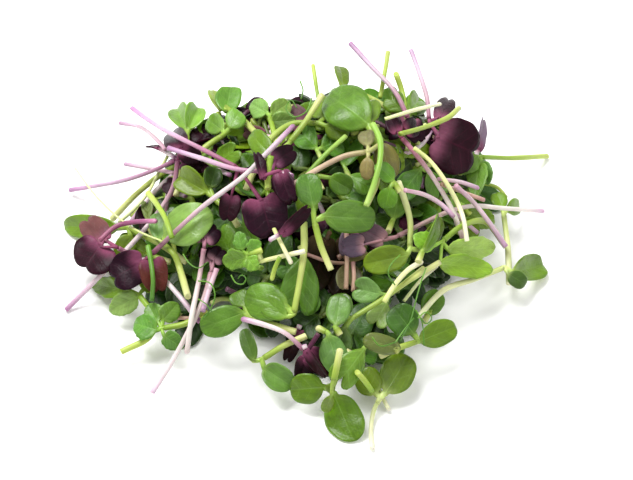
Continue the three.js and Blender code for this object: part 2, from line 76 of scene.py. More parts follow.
def drawn_back(outline, part, side):
    """How far the tip and the sides of the base reach back, as a share of the length."""
    side = np.abs(side)
    if outline == "kidney":
        tip = 0.1 * side**2 + 0.1 * np.maximum(1 - 2 * side, 0) ** 2
        return part**3 * tip + (1 - part) ** 3 * 0.14 * side**2
    if outline == "heart":
        return part**3 * np.where(side < 0.5, 0.26 * (1 - 2 * side) ** 2, 0.12 * (2 * side - 1) ** 2)
    return part**3 * (0.1 * side**2 if outline == "oval" else 0)


def kind(name, outline, stem_radius, petiole_radius, thickness, fold, droop, separate=False):
    return {
        "name": name, "outline": outline, "stem_radius": stem_radius, "petiole_radius": petiole_radius,
        "thickness": thickness, "fold": fold, "droop": droop, "separate": separate,
    }


RADISH = kind("radish", "kidney", 1, 0.75, 0.9, 0.22, 0.12, separate=True)
SUNFLOWER = kind("sunflower", "oval", 1.5, 1, 1.1, 0.1, 0.12)
PEA = kind("pea", "toothed", 1.2, 0.7, 0.9, 0.25, 0.1)
KALE = kind("kale", "heart", 1, 0.75, 0.9, 0.15, 0.1)
KINDS = {sort["name"]: sort for sort in (RADISH, SUNFLOWER, PEA, KALE)}

UNDERSIDE_BUNDLES = [
    {"name": "underside_low", "kind": SUNFLOWER, "turn": 10, "arc": 360, "middle": (2, 13, 3), "end": 0.6,
     "reach": (62, 54), "tail": 10},
    {"name": "underside_high", "kind": KALE, "turn": 42, "arc": 360, "middle": (2, 13, 30), "end": 0.6,
     "reach": (44, 42), "tail": 12},
    {"name": "underside_back", "kind": SUNFLOWER, "turn": 4, "arc": 210, "middle": (4, 48, 28), "end": 0.2,
     "reach": (74, 36), "tail": 6},
]
UNDERSIDE = {
    "seed": 11, "count": 4, "bow": 6, "leaf_start": 4, "leaf_length": 20, "leaf_width": 12, "leaf_spread": 0.8,
}

# ---- looks, as sRGB colours ----

COLOUR_LISTS, COLOURS = ("stem",), ("leaf", "under")


def look_in(text):
    """A look from its words. stem: colours from the cut foot to the crown; leaf and under: its two sides."""
    look, key = {}, None
    for word in text.split():
        if word.islower():
            key = word
        elif key in COLOUR_LISTS:
            look[key] = look.get(key, []) + [int(word, 16)]
        else:
            look[key] = int(word, 16) if key in COLOURS else float(word)
    return look


def looks_in(text):
    """Looks by name, a line each. A stroke comes before the number and the look of a single leaf."""
    looks = {}
    for line in text.strip().splitlines():
        name, _, words = line.partition(":")
        whole, *singles = words.split("/")
        looks[name.strip()] = look = look_in(whole)
        if singles:
            look["each"] = {int(single.split()[0]): look_in(single.split(maxsplit=1)[1]) for single in singles}
    return looks


KIND_LOOKS = looks_in("""
radish: leaf 240816 under 44122A stem AE7CA4 CAACC2 DACAD2 E4DCDA DECCD2 C09EAA 864664 fade 1.35 pucker 0.012
sunflower: leaf 5C7C04 under 8AA434 stem D8DAA4 C2CC80 A0B850 88A43C slim 0.85 pucker 0.009
pea: leaf 6E9014 under 98B446 stem BCCC6C A2BC4C 82A634 pucker 0.03 ragged 0.06
kale: leaf 64861A under 90AC48 stem D4DC9C B8CC78 94B254 pucker 0.018
""")

# Where a single sprout looks different from its kind. The two lower underside bundles have dark colours as painted
# shade, since they lie beneath the heap.
# The dark second leaf of sunflower_left_folded is painted shade.
OWN_LOOKS = looks_in("""
sunflower_olive: leaf 8E8450 under 9C9060 stem C8A898 D4BCA4 BCA488 A8A468 slim 0.8 / 2 leaf 6A6A2C
sunflower_back_left: leaf 7CA03C under 9CB868 fold 0.7
sunflower_tail_left: fold 0.5 / 0 leaf 44661E / 1 leaf 587E34 under 82A45C
radish_front_long: stem DEC4D8 E8DCE0 E4DCD8 DCCCC8 B88C98
radish_front_short: stem D4C8C4 E4E0D8 E4DED6 DAC6C6 A87888
radish_right_down: stem BC8A94 DECCC4 EAE2DA E6DCD4 E2CCCC C890A0 9C5070
radish_front_dark: leaf 1C060C under 34101C
radish_right_tall: stem C4A6C6 D0B8D0 D2BCCE C8AAB6 9C5C78
radish_back: stem B084AE C4A4C2 CCB4CA CCB8C4 BC98A8 9C6078
pea_back: leaf 7C9E4C under 9CB878
pea_right_cut: leaf 5A8634 under 84AC5C
sunflower_back_middle: / 0 leaf 56862A / 1 leaf 8AAA48 under A4BC6C
sunflower_back_low: leaf 6A9434 under 90B060
sunflower_right_tip: leaf 5A8204 under 8AA438 stem EEF0D8 E8ECC4 E0E6B4 CCDA90 fold 0.4 slim 0.75 / 1 leaf 3E6410
sunflower_far_right: leaf 6E9A20 under 94B44C stem EEF0D4 E6ECC0 DCE4A8 B8CC78 slim 0.8
sunflower_right_low: leaf 587C02 under 86A42C / 1 leaf 3C6408
sunflower_right_bent: stem E8ECC4 DCE4AC C8D48C A8C064
pea_left_front: leaf 5E8C2C
sunflower_front_right: stem F0F0E0 E8EACC C8D690 slim 0.6
sunflower_front_pale: leaf 4A641C under 6A8644 slim 0.7
kale_right: leaf 7A9C50 under 94B07A
sunflower_top_broad: leaf 5C8014 under 84A044
sunflower_left_broad: leaf 769A4C under 94B070
sunflower_left_folded: leaf 5C7A04 under 7C9A1C fold 0.5 / 1 leaf 2E4A08
sunflower_hero: leaf 58862A under 84A44A / 1 leaf 4E7E2C
kale_middle: stem A4C468 88B048 7CA43C
pea_right: leaf 80AC30 under A4C070 ragged 0.09 lobes 10 / 0 leaf 98BC58
pea_left_low: pucker 0.045 / 1 leaf 86AA5C under A0BC78
sunflower_front_left: leaf 5E8424 under 86A44C
sunflower_middle_stem: leaf 5C8A26 under 86AC4C stem B8C874 CCD68C BCCA74 9CB450
radish_left_pair: / 1 leaf 744844 under 8C645C
radish_upper_left: stem B888B4 CCA0C8 D0AACC D2B2CA C8A0BA A8708C 864664
radish_upper_middle: stem B080AC CEAACA D6BCD0 CAA0BA 98587C
radish_left_low: stem B07EAC CAA4C6 D0B2CC BE98B2 94547A
radish_left_across: / 1 leaf 5A2C24 under 7A4C40
sunflower_far_left: leaf 72941C under 96B050
radish_right_arc: leaf 5C4A56 under 8A7480 stem D0B0CC E4DCDA E6E2DA E2DAD4 D0BAB6 A88084
underside_low: leaf 1E400C under 365C20 stem 5C6C34 4C5E28 3C5020
underside_high: leaf 1E400C under 365C20 stem 5C6C34 4C5E28 3C5020
underside_back: leaf 3A6418 under 5A8438 stem 98A85C 88A04C 6C8C3C
""")

# What the sprouts that only the looks have share. The near-black green and the dark brown leaf looks are painted shade,
# for leaves laid deep inside the heap's gaps.
SHARED_LOOKS = looks_in("""
pale: stem F2F2DC EEF0CE E2EAB4
cream: stem F4F2D4 EEF0BE DCE69C
lime: stem C0CC78 ACC05C 9CB44C
wax: stem E0E8C0 DCE6B0 D0DE9C
lush: leaf 5C8C1C under 80AC44 stem 9CC45C 88B448 90BA50 B0CC74
pink: stem C29ABA D8BCCE DEC8D0 CEA4B6
deep_pink: stem C88AAE 9C5A80 8C4A6C 9A5A74
dark: stem 6A3052 5A2444 521E3C 521E3C
tan: stem B98C86 D0AA9C C8A890 B99A80
grass: stem 6A9C34 548428 487822
brown_mauve: leaf 6B4A4C under 87686A
grey_mauve: leaf 73606E under 8B7788
olive: leaf 6A7434 under 8C9058 stem B0B474 A0A860 909A50
olive_mauve: leaf 7C7C52 under 94906A stem A08070 987868 8C7060
matte: leaf 5E8038 under 7A9858
gloom: leaf 34561A under 4C6C2E stem 70803C 60702E
dusk: leaf 20180A under 342818 stem 70583C 5C4C34
crisp: leaf 6C9C34 under 94BC64 pucker 0.06 ragged 0.14 lobes 11
deep: leaf 507E1E under 709A3C
black: leaf 180406 under 2C0C14
bright: leaf 56881C under 8AB04C
""")

# Painted shade: darker copies of each kind's colours, for seedlings that lie among and under the others.
PAINTED_SHADE_LOOKS = looks_in("""
radish: leaf 18040A under 2A0E1A stem 705464 684856 583444 401828
sunflower: leaf 1E3808 under 304C14 stem 70803C 60742E 4C6622
pea: leaf 24420A under 385418 stem 6A802C 587224 48621C
kale: leaf 1C360A under 304A1A stem 70803C 5C7030 4C6426
""")
# Painted shade for the other inner seedlings but radish: a darker green than their kind's.
INNER_PAINTED_SHADE_LOOK = look_in("leaf 3E680E under 5C842A")

# How much of each colour is kept in green tones, and in the pink and purple ones.
DIMMED_GREEN, DIMMED_PINK = (0.81, 0.8, 0.68), (0.81, 0.79, 0.78)


def colour(code):
    """The linear colour of a 0xRRGGBB code."""
    parts = np.array([(code >> 16) & 255, (code >> 8) & 255, code & 255]) / 255
    return np.where(parts < 0.04045, parts / 12.92, ((parts + 0.055) / 1.055) ** 2.4)


# ---- the sprouts' places on the layout sheet ----


def leaf(start, tip, width, turn=0):
    return {"from": start, "to": tip, "width": width, "turn": turn}


def numbers_in(text):
    """Rows of numbers, with commas between them."""
    return [[float(number) for number in row.split()] for row in text.split(",")]


def plans_in(text):
    """Sprouts, a line each: the kind or name and what is special, then stem; leaf; leaf.

    A stem is its places from foot to crown, each right, down and perhaps up. A leaf is the right and down of its
    start and its tip, its width and perhaps its turn.
    """
    plans = []
    for line in text.splitlines():
        words, colon, shapes = line.partition(":")
        if not colon:
            continue
        name, *words = words.split()
        settings = {key: float(value) for key, value in (word.split("=") for word in words if "=" in word)}
        sort = KINDS[name.split("_")[0]]
        if "radius" in settings:
            sort = dict(sort, stem_radius=settings["radius"])
        stem, *blades = map(numbers_in, shapes.split(";"))
        leaves = [leaf(row[:2], row[2:4], *row[4:]) for (row,) in blades]
        look = next((SHARED_LOOKS[word] for word in words if word in SHARED_LOOKS), {})
        plans.append({
            "name": name, "kind": sort, "stem": stem, "leaves": leaves, "lift": settings.get("lift", 0),
            "over": "under" not in words, "look": look,
        })
    return plans


SEEN_SPROUTS = plans_in("""
sunflower_back_left: 176 196, 184 165, 187 136; 186 129 175 104 9; 189 129 199 104 9
sunflower_back_middle: 268 148, 247 124, 224 106; 226 112 231 86 11; 221 110 212 86 6 30
sunflower_back_low: 189 163, 207 146, 222 136; 223 130 204 117 9; 230 128 241 110 9
pea_back: 283 168, 276 140, 270 118; 272 114 292 101 9; 267 113 250 103 9; 272 122 296 119 8
sunflower_back_curled: 400 116, 372 99, 346 88; 342 86 343 61 7 30; 348 92 330 104 9
kale_back_right: 408 150, 408 130, 406 113; 402 111 388 96 10; 409 111 423 96 10
radish_back: 350 43 8, 370 65 6, 395 92 3, 408 118; 404 122 390 134 9; 412 124 418 140 9
pea_right_cut: 547 156 -4, 512 158, 482 157; 480 163 474 196 9 15; 476 156 462 170 9; 482 162 488 184 7
radish_right_tall: 411 50 6, 420 75 4, 427 98 2, 429 119; 440 117 452 93 8.5; 440 138 478 155 25
sunflower_far_right: 509 284, 508 250, 504 216; 507 210 525 204 7.5; 502 208 497 191 7 20
sunflower_right_tip: 418 317, 444 290, 475 279, 503 268; 513 273 545 264 12; 508 274 526 285 7
sunflower_far_left: 186 262, 160 244, 130 229; 117 228 62 226 11; 131 236 119 257 9
radish_left_low: 70 190, 95 186, 125 180, 152 171, 176 160; 184 154 198 146 8; 184 162 200 166 8
pea_left_low: 121 352, 150 336, 154 318, 140 296; 130 291 83 282 9; 137 297 109 312 10; 143 290 156 276 8
pea_left_front: 208 312, 184 324, 164 328; 157 330 131 323 11; 164 336 182 347 8; 163 320 178 303 9; 158 322 148 304 8
radish_left_cross: 66 310, 100 276, 130 246, 152 220, 172 190, 178 160; 184 150 199 160 9; 180 147 167 126 11
radish_left_pair: 200 322, 180 297, 162 277, 142 260, 118 248; 100 247 84 270 18; 104 239 83 216 11.5
radish_front_long: 152 393, 170 365, 186 336, 203 300, 211 272; 214 260 223 248 8; 210 260 204 246 7
radish_front_short: 187 352, 192 315, 199 280, 204 248; 206 238 218 228 9; 202 238 192 226 8
sunflower_left_broad: 188 297, 182 276, 175 256, 165 245; 166 237 208 212 16; 159 240 156 209 7
sunflower_left_folded: 238 226, 228 211, 215 199; 207 192 174 173 11.5; 210 188 216 166 8
sunflower_top_pale: 246 190, 256 166, 270 140, 292 124, 316 123; 324 118 318 96 12; 326 126 348 134 9
sunflower_top_broad lift=4: 366 206, 376 184, 378 158, 372 134; 368 124 322 90 19; 372 122 368 98 9
sunflower_top_oval: 322 95, 308 118, 290 142; 272 156 250 133 9; 284 154 276 180 9
kale_middle: 346 136, 326 154, 306 176; 300 186 276 196 9; 306 188 308 214 9
radish_upper_left lift=5: 132 108, 150 121, 170 133, 202 149, 236 167; 231 198 227 221 9; 262 202 272 237 18
radish_upper_middle lift=3: 168 148, 200 158, 236 169, 268 172; 282 176 291 203 10 20; 276 160 295 149 9
radish_left_across lift=2: 293 126, 266 154, 245 175, 200 209, 152 254; 141 263 110 281 15; 152 263 158 289 12
sunflower_olive lift=2: 290 187, 320 168, 345 156, 366 152; 368 146 365 126 7; 368 158 366 178 6; 381 144 391 178 10
radish_right_arc lift=1: 543 211, 500 208, 472 206, 448 212, 424 223, 398 236; 382 239 360 228 9; 362 245 341 248 9
radish_right_down lift=3: 464 242, 452 210, 432 176, 413 151, 402 138; 397 131 389 115 7; 406 130 420 124 9
sunflower_right_bent lift=3: 398 182, 404 198, 410 220, 410 246; 407 255 366 264 11; 418 250 448 220 9 30
pea_right: 506 247, 486 222, 462 226, 444 240; 448 250 498 247 10; 440 264 496 270 10; 434 246 414 236 8
kale_right lift=1: 424 268, 406 282, 391 294; 381 294 354 288 10; 386 303 374 326 10
sunflower_front_left: 296 332, 270 324, 252 318; 243 313 200 329 11.5; 244 306 236 290 9
sunflower_middle_stem lift=2: 304 222, 304 250, 299 285, 294 312; 287 308 242 295 15; 286 317 258 298 9
sunflower_hero lift=5: 331 270, 321 246, 315 224; 325 216 377 219 13.5; 313 206 306 172 10.5
sunflower_front_pale lift=2: 440 262, 410 280, 380 301, 354 317; 343 318 338 293 10.5; 344 328 331 366 11
sunflower_tail_left: 306 336, 285 345, 264 358; 254 361 243 328 6; 264 368 292 387 10
radish_front_dark lift=1: 243 319, 262 324, 285 333, 304 350; 310 356 336 372 10; 306 360 300 382 8
sunflower_front_right: 372 449, 371 428, 374 410, 379 400; 386 392 409 354 14; 376 394 361 369 11.5
sunflower_right_low: 380 356, 398 348, 416 342; 420 341 457 326 10.5; 413 333 393 307 13
sunflower_tail_tip: 350 350, 339 370, 332 387; 335 396 354 440 15.5; 323 387 290 390 12.5
""")

# Sprouts that only the looks have. Those marked "under" are tucked beneath the seen ones.
# The dark leaves laid deep inside, at the end of this table, are painted shade in the gaps between the sprouts.
EXTRAS = plans_in("""
# the left of the heap
radish under pink radius=0.9: 120 123, 140 127, 156 139, 166 150
radish under pink radius=0.9: 125 164, 148 168, 174 173
radish under: 176 158, 166 152, 160 149; 158 148 146 142 4 50
sunflower under wax radius=0.85: 119 222, 130 213, 147 194, 160 170, 171 150
sunflower wax radius=0.5: 75 168, 96 196, 120 219, 140 232, 162 241
pea radius=1.1: 148 193, 158 206, 166 220, 172 238
kale under olive: 156 240, 150 230, 148 224; 148 221 147 199 5
radish deep_pink: 156 221, 134 222, 115 227, 99 241
pea grass radius=0.95: 148 246, 151 262, 153 280, 152 301
pea under radius=0.9: 172 236, 177 262, 186 296
sunflower under: 170 262, 152 256; 148 254 117 236 9
radish pink: 203 311, 209 290, 217 268
kale under: 205 160, 212 165; 214 166 238 148 9; 210 160 196 146 8
radish under: 230 175, 214 168; 208 166 188 158 8; 210 172 226 158 8
radish under: 186 196, 178 194; 176 192 164 180 7
sunflower under deep: 200 225, 192 200; 190 196 204 180 8; 186 198 176 186 7
radish under tan radius=0.8: 170 317, 186 318, 201 317
# the top
pea: 268 189, 268 172, 271 156
sunflower under lime radius=1.1 lift=2: 388 52, 386 66, 383 82, 380 98
pea under radius=1.1 lift=2: 396 74, 401 88, 405 104, 408 120
pea lime radius=1.1: 459 108, 449 117, 425 127, 400 134
sunflower bright lift=2: 400 192, 395 184; 393 181 377 164 8 30; 390 188 386 208 8
kale under deep: 322 160, 318 152; 316 148 298 130 11; 322 148 342 140 12
sunflower pale radius=1: 440 104, 415 110, 385 119
pea under radius=0.8 lift=2: 313 65, 315 78, 318 98
radish under brown_mauve: 310 132, 304 128; 302 125 284 105 11
radish under brown_mauve: 274 138, 266 136; 262 135 240 131 7
radish: 292 176, 282 172; 282 175 290 202 9 25; 262 176 258 150 5 40
sunflower under deep: 322 190, 316 178; 330 178 352 190 9
kale under deep: 350 180, 346 170; 344 166 352 138 11; 350 176 372 188 9
radish under: 300 200, 312 184; 320 178 344 182 6 30
# the right
radish pink radius=0.9: 478 188, 460 182, 438 179
radish tan radius=0.9: 484 200, 465 193, 441 184
radish pink: 506 247, 491 225, 474 203, 455 185
radish under pink radius=0.9: 478 233, 466 223, 452 210
radish pink radius=0.9: 454 217, 442 205, 425 195, 404 190
sunflower cream radius=1.1: 467 241, 462 214, 447 184, 430 161, 414 148
pea under radius=1: 464 237, 460 216, 454 195
pea under radius=0.7: 506 197, 498 188, 484 184, 468 187
radish under grey_mauve: 474 160, 478 150; 479 146 486 116 5 40
pea under: 470 215, 462 205; 466 212 498 226 9; 462 220 476 240 9
kale under deep: 430 165, 422 168; 420 170 400 196 10; 428 172 442 196 9
# the middle
sunflower cream radius=1.1: 305 251, 283 256, 258 262
sunflower cream radius=1.1: 291 263, 283 247, 274 229
pea radius=1: 272 279, 275 268, 280 257
kale under lush: 262 268, 246 266; 236 262 216 226 13
kale under deep: 262 262, 258 250; 256 246 238 214 12
kale under deep: 300 246, 303 254; 304 258 298 314 16
sunflower lush radius=1.3 lift=4: 373 124, 380 140, 380 160, 374 184, 366 206
sunflower under lush: 392 120, 388 114; 386 110 360 92 9; 394 112 386 86 9
sunflower under lush: 404 126, 408 118; 410 114 424 92 10
radish under tan radius=0.9: 346 222, 347 250, 346 290
radish under tan radius=0.8: 353 262, 354 276, 353 292
sunflower under deep: 330 180, 340 196; 346 198 372 180 11
sunflower under deep: 388 232, 392 222; 394 218 398 190 10
pea crisp: 262 250, 250 254; 246 258 222 262 8; 242 250 238 231 6; 248 250 261 242 6; 247 258 257 269 7
radish: 270 240, 280 234; 284 231 311 207 6 35
radish under grey_mauve: 362 236, 356 234; 352 233 345 257 8
radish under olive_mauve: 338 258, 342 255; 346 253 369 250 8
kale under olive_mauve: 346 252, 348 258; 349 262 350 289 11
kale under deep: 300 300, 310 290; 312 286 302 312 11; 300 280 282 262 10
radish under tan radius=0.8: 306 254, 330 262, 352 264
sunflower cream radius=1.2: 421 262, 408 270, 396 283, 384 302
sunflower under pale radius=0.8: 437 266, 420 281, 404 301
sunflower: 418 262, 422 252; 424 250 447 216 8 50
sunflower under deep: 424 322, 430 312; 424 314 442 292 9
# the front
sunflower matte: 340 335, 336 328; 336 325 341 294 10
sunflower matte: 318 328, 326 332; 329 336 340 373 11
kale: 372 340, 366 346; 363 350 337 385 12
radish dark: 304 357, 311 345, 319 333
radish under black: 300 325, 298 330; 298 333 286 362 6
radish black: 304 345, 306 350; 308 353 325 379 5 30
sunflower: 340 350, 334 380; 331 397 324 412 5; 331 393 330 383 4
pea: 357 372, 364 380, 372 391
sunflower under pale radius=0.9: 389 410, 384 400, 379 390
sunflower olive: 398 352, 396 350; 400 349 364 339 8
# deep inside
radish under dusk: 330 232, 326 240; 322 244 314 290 14; 334 246 342 296 13
kale under gloom: 318 196, 330 200; 336 204 352 232 13; 328 196 352 172 13
sunflower under gloom: 300 178, 308 172; 314 168 338 152 10; 296 168 302 146 10
sunflower under gloom: 260 290, 266 280; 262 276 246 274 10; 272 276 284 262 10
kale under gloom: 330 312, 322 316; 318 316 300 330 12; 324 308 330 290 12
kale under gloom: 400 230, 404 240; 400 244 378 250 12; 396 226 380 210 12
""")

TENDRILS = [numbers_in(line) for line in """
300 81, 303 90, 301 99
312 98, 306 112, 294 117, 286 108, 291 100, 297 108
183 254, 190 264, 199 268, 208 262
198 281, 210 283, 215 295, 211 308, 203 319
198 299, 206 304, 212 312
231 275, 236 283, 243 284, 246 278, 241 275, 238 279
426 268, 421 282, 416 300, 410 322, 400 341
416 310, 422 322, 424 346
418 318, 426 312, 432 318, 426 324, 421 318
400 255, 392 263, 388 273, 395 285
395 343, 404 330, 414 318
372 337, 380 346, 396 342
""".strip().splitlines()]

# Where the heap is dense on the layout sheet, corner by corner round its edge.
BODY = numbers_in("""
96 222, 150 205, 168 165, 188 140, 215 110, 255 108, 300 102, 345 92, 390 98,
430 118, 466 140, 480 190, 488 240, 470 270, 432 296, 428 332, 398 366, 360 386,
318 372, 282 344, 240 318, 205 322, 160 320, 122 290, 104 256
""")

# ---- small helpers ----


def unit(vectors):
    return vectors / np.maximum(np.linalg.norm(vectors, axis=-1, keepdims=True), 1e-12)


def lerp(start, end, share):
    return start + (end - start) * share


def smoothstep(low, high, value):
    share = np.clip((value - low) / (high - low), 0, 1)
    return share * share * (3 - 2 * share)


def turned(vector, axis, angle):
    """The vector turned about a unit axis."""
    cross = np.cross(axis, vector)
    return vector * math.cos(angle) + cross * math.sin(angle) + axis * (axis @ vector) * (1 - math.cos(angle))


def seeded(seed):
    """Numbers from 0 to 1, always the same for a seed."""
    state = seed
    while True:
        state = (state * 1664525 + 1013904223) % 4294967296
        yield state / 4294967296


class Curve:
    """A centripetal Catmull-Rom curve through points, with its length measured over 200 stretches."""

    STRETCHES = 200

    def __init__(self, points):
        points = np.asarray(points, float)
        first = 2 * points[0] - points[1]
        last = 2 * points[-1] - points[-2]
        self.points = np.vstack([first, points, last])
        self.spans = len(points) - 1
        self.shares = np.linspace(0, 1, self.STRETCHES + 1)
        steps = np.linalg.norm(np.diff(self.at_share(self.shares), axis=0), axis=1)
        self.lengths = np.concatenate([[0], np.cumsum(steps)])
        self.length = self.lengths[-1]

    def at_share(self, share):
        place = np.atleast_1d(np.clip(share, 0, 1)) * self.spans
        span = np.minimum(place.astype(int), self.spans - 1)
        weight = (place - span)[:, None]
        p0, p1, p2, p3 = (self.points[span + index] for index in range(4))
        pairs = (p0, p1), (p1, p2), (p2, p3)
        d0, d1, d2 = (np.sqrt(np.linalg.norm(end - start, axis=1, keepdims=True)) for start, end in pairs)
        d1 = np.where(d1 < 1e-4, 1, d1)
        d0 = np.where(d0 < 1e-4, d1, d0)
        d2 = np.where(d2 < 1e-4, d1, d2)
        slope1 = ((p1 - p0) / d0 - (p2 - p0) / (d0 + d1) + (p2 - p1) / d1) * d1
        slope2 = ((p2 - p1) / d1 - (p3 - p1) / (d1 + d2) + (p3 - p2) / d2) * d1
        square = -3 * p1 + 3 * p2 - 2 * slope1 - slope2
        cube = 2 * p1 - 2 * p2 + slope1 + slope2
        return p1 + weight * (slope1 + weight * (square + weight * cube))

    def at(self, share):
        """Points at shares of the curve's length."""
        return self.at_share(np.interp(np.asarray(share) * self.length, self.lengths, self.shares))

    def heading(self):
        before, end = self.at_share(np.array([1 - 1e-4, 1]))
        return unit(end - before)


# ---- places in the heap, as in the solids ----

EYE_DIRECTION = np.array([0, -math.cos(EYE_ELEVATION), math.sin(EYE_ELEVATION)])
SHEET_UP = np.array([0, math.sin(EYE_ELEVATION), math.cos(EYE_ELEVATION)])
EYE = SHEET_CENTRE + EYE_DISTANCE * EYE_DIRECTION


def mound_height(right, down):
    reach = MOUND["left_reach"] if right < MOUND["peak"] else MOUND["right_reach"]
    side = min(abs(right - MOUND["peak"]) / reach, 1)
    fall = np.clip((down - MOUND["shoulder"]) / (MOUND["foot"] - MOUND["shoulder"]), 0, 1)
    return MOUND["height"] * (1 - side**2) * (1 - fall)


def place_at_height(right, down, height):
    across = np.array([GRID * (right - SHEET_MIDDLE[0]), 0, 0])
    ray = SHEET_CENTRE + across + GRID * (SHEET_MIDDLE[1] - down) * SHEET_UP - EYE
    return EYE + ray * (height - EYE[2]) / ray[2]


def seen_from_eye(points):
    """Across and up on the sheet in millimetres, and the distance from the eye."""
    ray = points - EYE
    scale = EYE_DISTANCE / -(ray @ EYE_DIRECTION)
    return ray[:, 0] * scale, (ray @ SHEET_UP) * scale, np.linalg.norm(ray, axis=1)


def towards_eye(points):
    return unit(EYE - points)


# ---- one sprout before it is bent ----


def placed(plan, share):
    """The stem and leaves of a plan, at a share of the mound's height."""

    def put(place):
        right, down, extra = (list(place) + [0])[:3]
        height = share * mound_height(right, down) + plan["lift"] + extra
        return place_at_height(right, down, max(height, plan["kind"]["stem_radius"]))

    leaves = [dict(item, **{"from": put(item["from"]), "to": put(item["to"])}) for item in plan["leaves"]]
    return np.array([put(place) for place in plan["stem"]]), leaves


def underside_sprout(bundle, index, random):
    share = (index + 0.4 * next(random)) / UNDERSIDE["count"]
    angle = math.radians(bundle["turn"] + bundle["arc"] * share)
    reach = 0.7 + 0.3 * next(random)
    middle = np.array(bundle["middle"], float)
    reach_x, reach_y = bundle["reach"]
    crown = middle + reach * np.array([reach_x * math.cos(angle), reach_y * math.sin(angle), 0])
    crown[2] *= bundle["end"]
    along = unit(crown - middle)
    sideways = unit(np.array([-along[1], along[0], 0]))
    bowed = (middle + crown) / 2 + UNDERSIDE["bow"] * sideways
    stem = np.array([middle - bundle["tail"] * along, middle, bowed, crown])
    leaves = []
    for spread in (UNDERSIDE["leaf_spread"], -UNDERSIDE["leaf_spread"]):
        direction = along * math.cos(spread) + sideways * math.sin(spread)
        start = crown + UNDERSIDE["leaf_start"] * direction
        leaves.append(leaf(start, start + UNDERSIDE["leaf_length"] * direction, UNDERSIDE["leaf_width"]))
    return stem, leaves


def blade(sort, item):
    length = np.linalg.norm(item["to"] - item["from"])
    along = (item["to"] - item["from"]) / length
    facing = item.get("facing")
    normal = towards_eye(item["from"]) if facing is None else facing
    normal = unit(normal - along * (normal @ along))
    normal = turned(normal, along, math.radians(item["turn"]))
    return {
        "kind": sort, "start": item["from"], "length": length, "width": item["width"],
        "along": along, "normal": normal, "across": np.cross(along, normal),
    }


def blade_points(shape, part, side):
    """Points of the coarse middle surface that the solids have, for arrays of part and side."""
    rows, row_widths, teeth = OUTLINES[shape["kind"]["outline"]]
    index = np.interp(part, rows, np.arange(len(rows)))
    tooth = 1 - teeth * np.cos(math.pi * index) * np.abs(side)
    half_width = 0.5 * shape["width"] * np.interp(part, rows, row_widths) * tooth
    reach = shape["length"] * (part - drawn_back(shape["kind"]["outline"], part, side))
    rise = shape["kind"]["fold"] * half_width * side**2 - shape["kind"]["droop"] * shape["length"] * part**2
    offsets = ((reach, "along"), (half_width * side, "across"), (rise, "normal"))
    return shape["start"] + sum(amount[..., None] * shape[name] for amount, name in offsets)


def shaped(sort, stem, leaves):
    curve = Curve(stem)
    heading = curve.heading()
    sink = 0 if sort["separate"] else SINK
    blades = []
    for index, item in enumerate(leaves):
        begin = STAGGER * index - sink
        leaving = max(begin, 0) + 0.8
        petiole = Curve([stem[-1] + heading * begin, stem[-1] + heading * leaving, item["from"]])
        blades.append(dict(blade(sort, item), petiole=petiole))
    return {"kind": sort, "stem": curve, "blades": blades}


# ---- laying a sprout on the earlier ones, or tucking one under them ----


def beads_of(sprouts):
    """Rows of x, y, z, radius and half thickness, spaced along every stem, petiole and blade."""
    beads = []

    def add(points, reach, half):
        beads.append(np.hstack([points, np.tile([reach, half], (len(points), 1))]))

    def along(curve, radius):
        add(curve.at(np.linspace(0, 1, math.ceil(curve.length / BEAD_STEP) + 1)), radius + STEM_GAP, radius)

    for one in sprouts:
        along(one["stem"], one["kind"]["stem_radius"])
        for shape in one["blades"]:
            along(shape["petiole"], one["kind"]["petiole_radius"])
            rows = math.ceil(shape["length"] / BEAD_STEP)
            columns = 2 * math.ceil(shape["width"] / BEAD_STEP / 2)
            part, side = np.meshgrid(np.linspace(0, 1, rows + 1), np.linspace(-1, 1, columns + 1), indexing="ij")
            add(blade_points(shape, part.ravel(), side.ravel()), BLADE_REACH, one["kind"]["thickness"] / 2)
    return np.vstack(beads)


class Laid:
    """The beads of every sprout laid so far, as they are seen from the eye."""

    MARGIN = 4.0

    def __init__(self):
        self.across, self.up, self.far, self.radius = (np.zeros(0) for _ in range(4))
        self.points = np.zeros((0, 3))

    def add(self, points, across, up, radius):
        self.across = np.concatenate([self.across, across])
        self.up = np.concatenate([self.up, up])
        self.far = np.concatenate([self.far, np.linalg.norm(points - EYE, axis=1)])
        self.radius = np.concatenate([self.radius, radius])
        self.points = np.vstack([self.points, points])

    def since(self, first):
        """The beads laid after the first ones."""
        later = Laid()
        later.add(self.points[first:], self.across[first:], self.up[first:], self.radius[first:])
        return later

    def shifts(self, beads, over=True):
        """How far each bead has to move, towards the eye to lie on the laid ones or away to lie under them."""
        across, up, far = seen_from_eye(beads[:, :3])
        rise = towards_eye(beads[:, :3])[:, 2]
        shift = np.maximum((beads[:, 4] - PRESS - beads[:, 2]) / rise, 0) if over else np.zeros(len(beads))
        near = (
            (self.across > across.min() - self.MARGIN) & (self.across < across.max() + self.MARGIN)
            & (self.up > up.min() - self.MARGIN) & (self.up < up.max() + self.MARGIN)
        )
        if near.any():
            room = beads[:, 3, None] + self.radius[None, near]
            apart = np.hypot(across[:, None] - self.across[None, near], up[:, None] - self.up[None, near])
            reach = np.sqrt(np.maximum(room**2 - apart**2, 0))
            gap = far[:, None] - self.far[None, near]
            needed = np.where(apart < room, (gap if over else -gap) + reach, 0)
            shift = np.maximum(shift, needed.max(axis=1))
        if not over:
            shift = -np.minimum(shift, np.maximum((beads[:, 2] - beads[:, 4]) / rise, 0))
        return shift


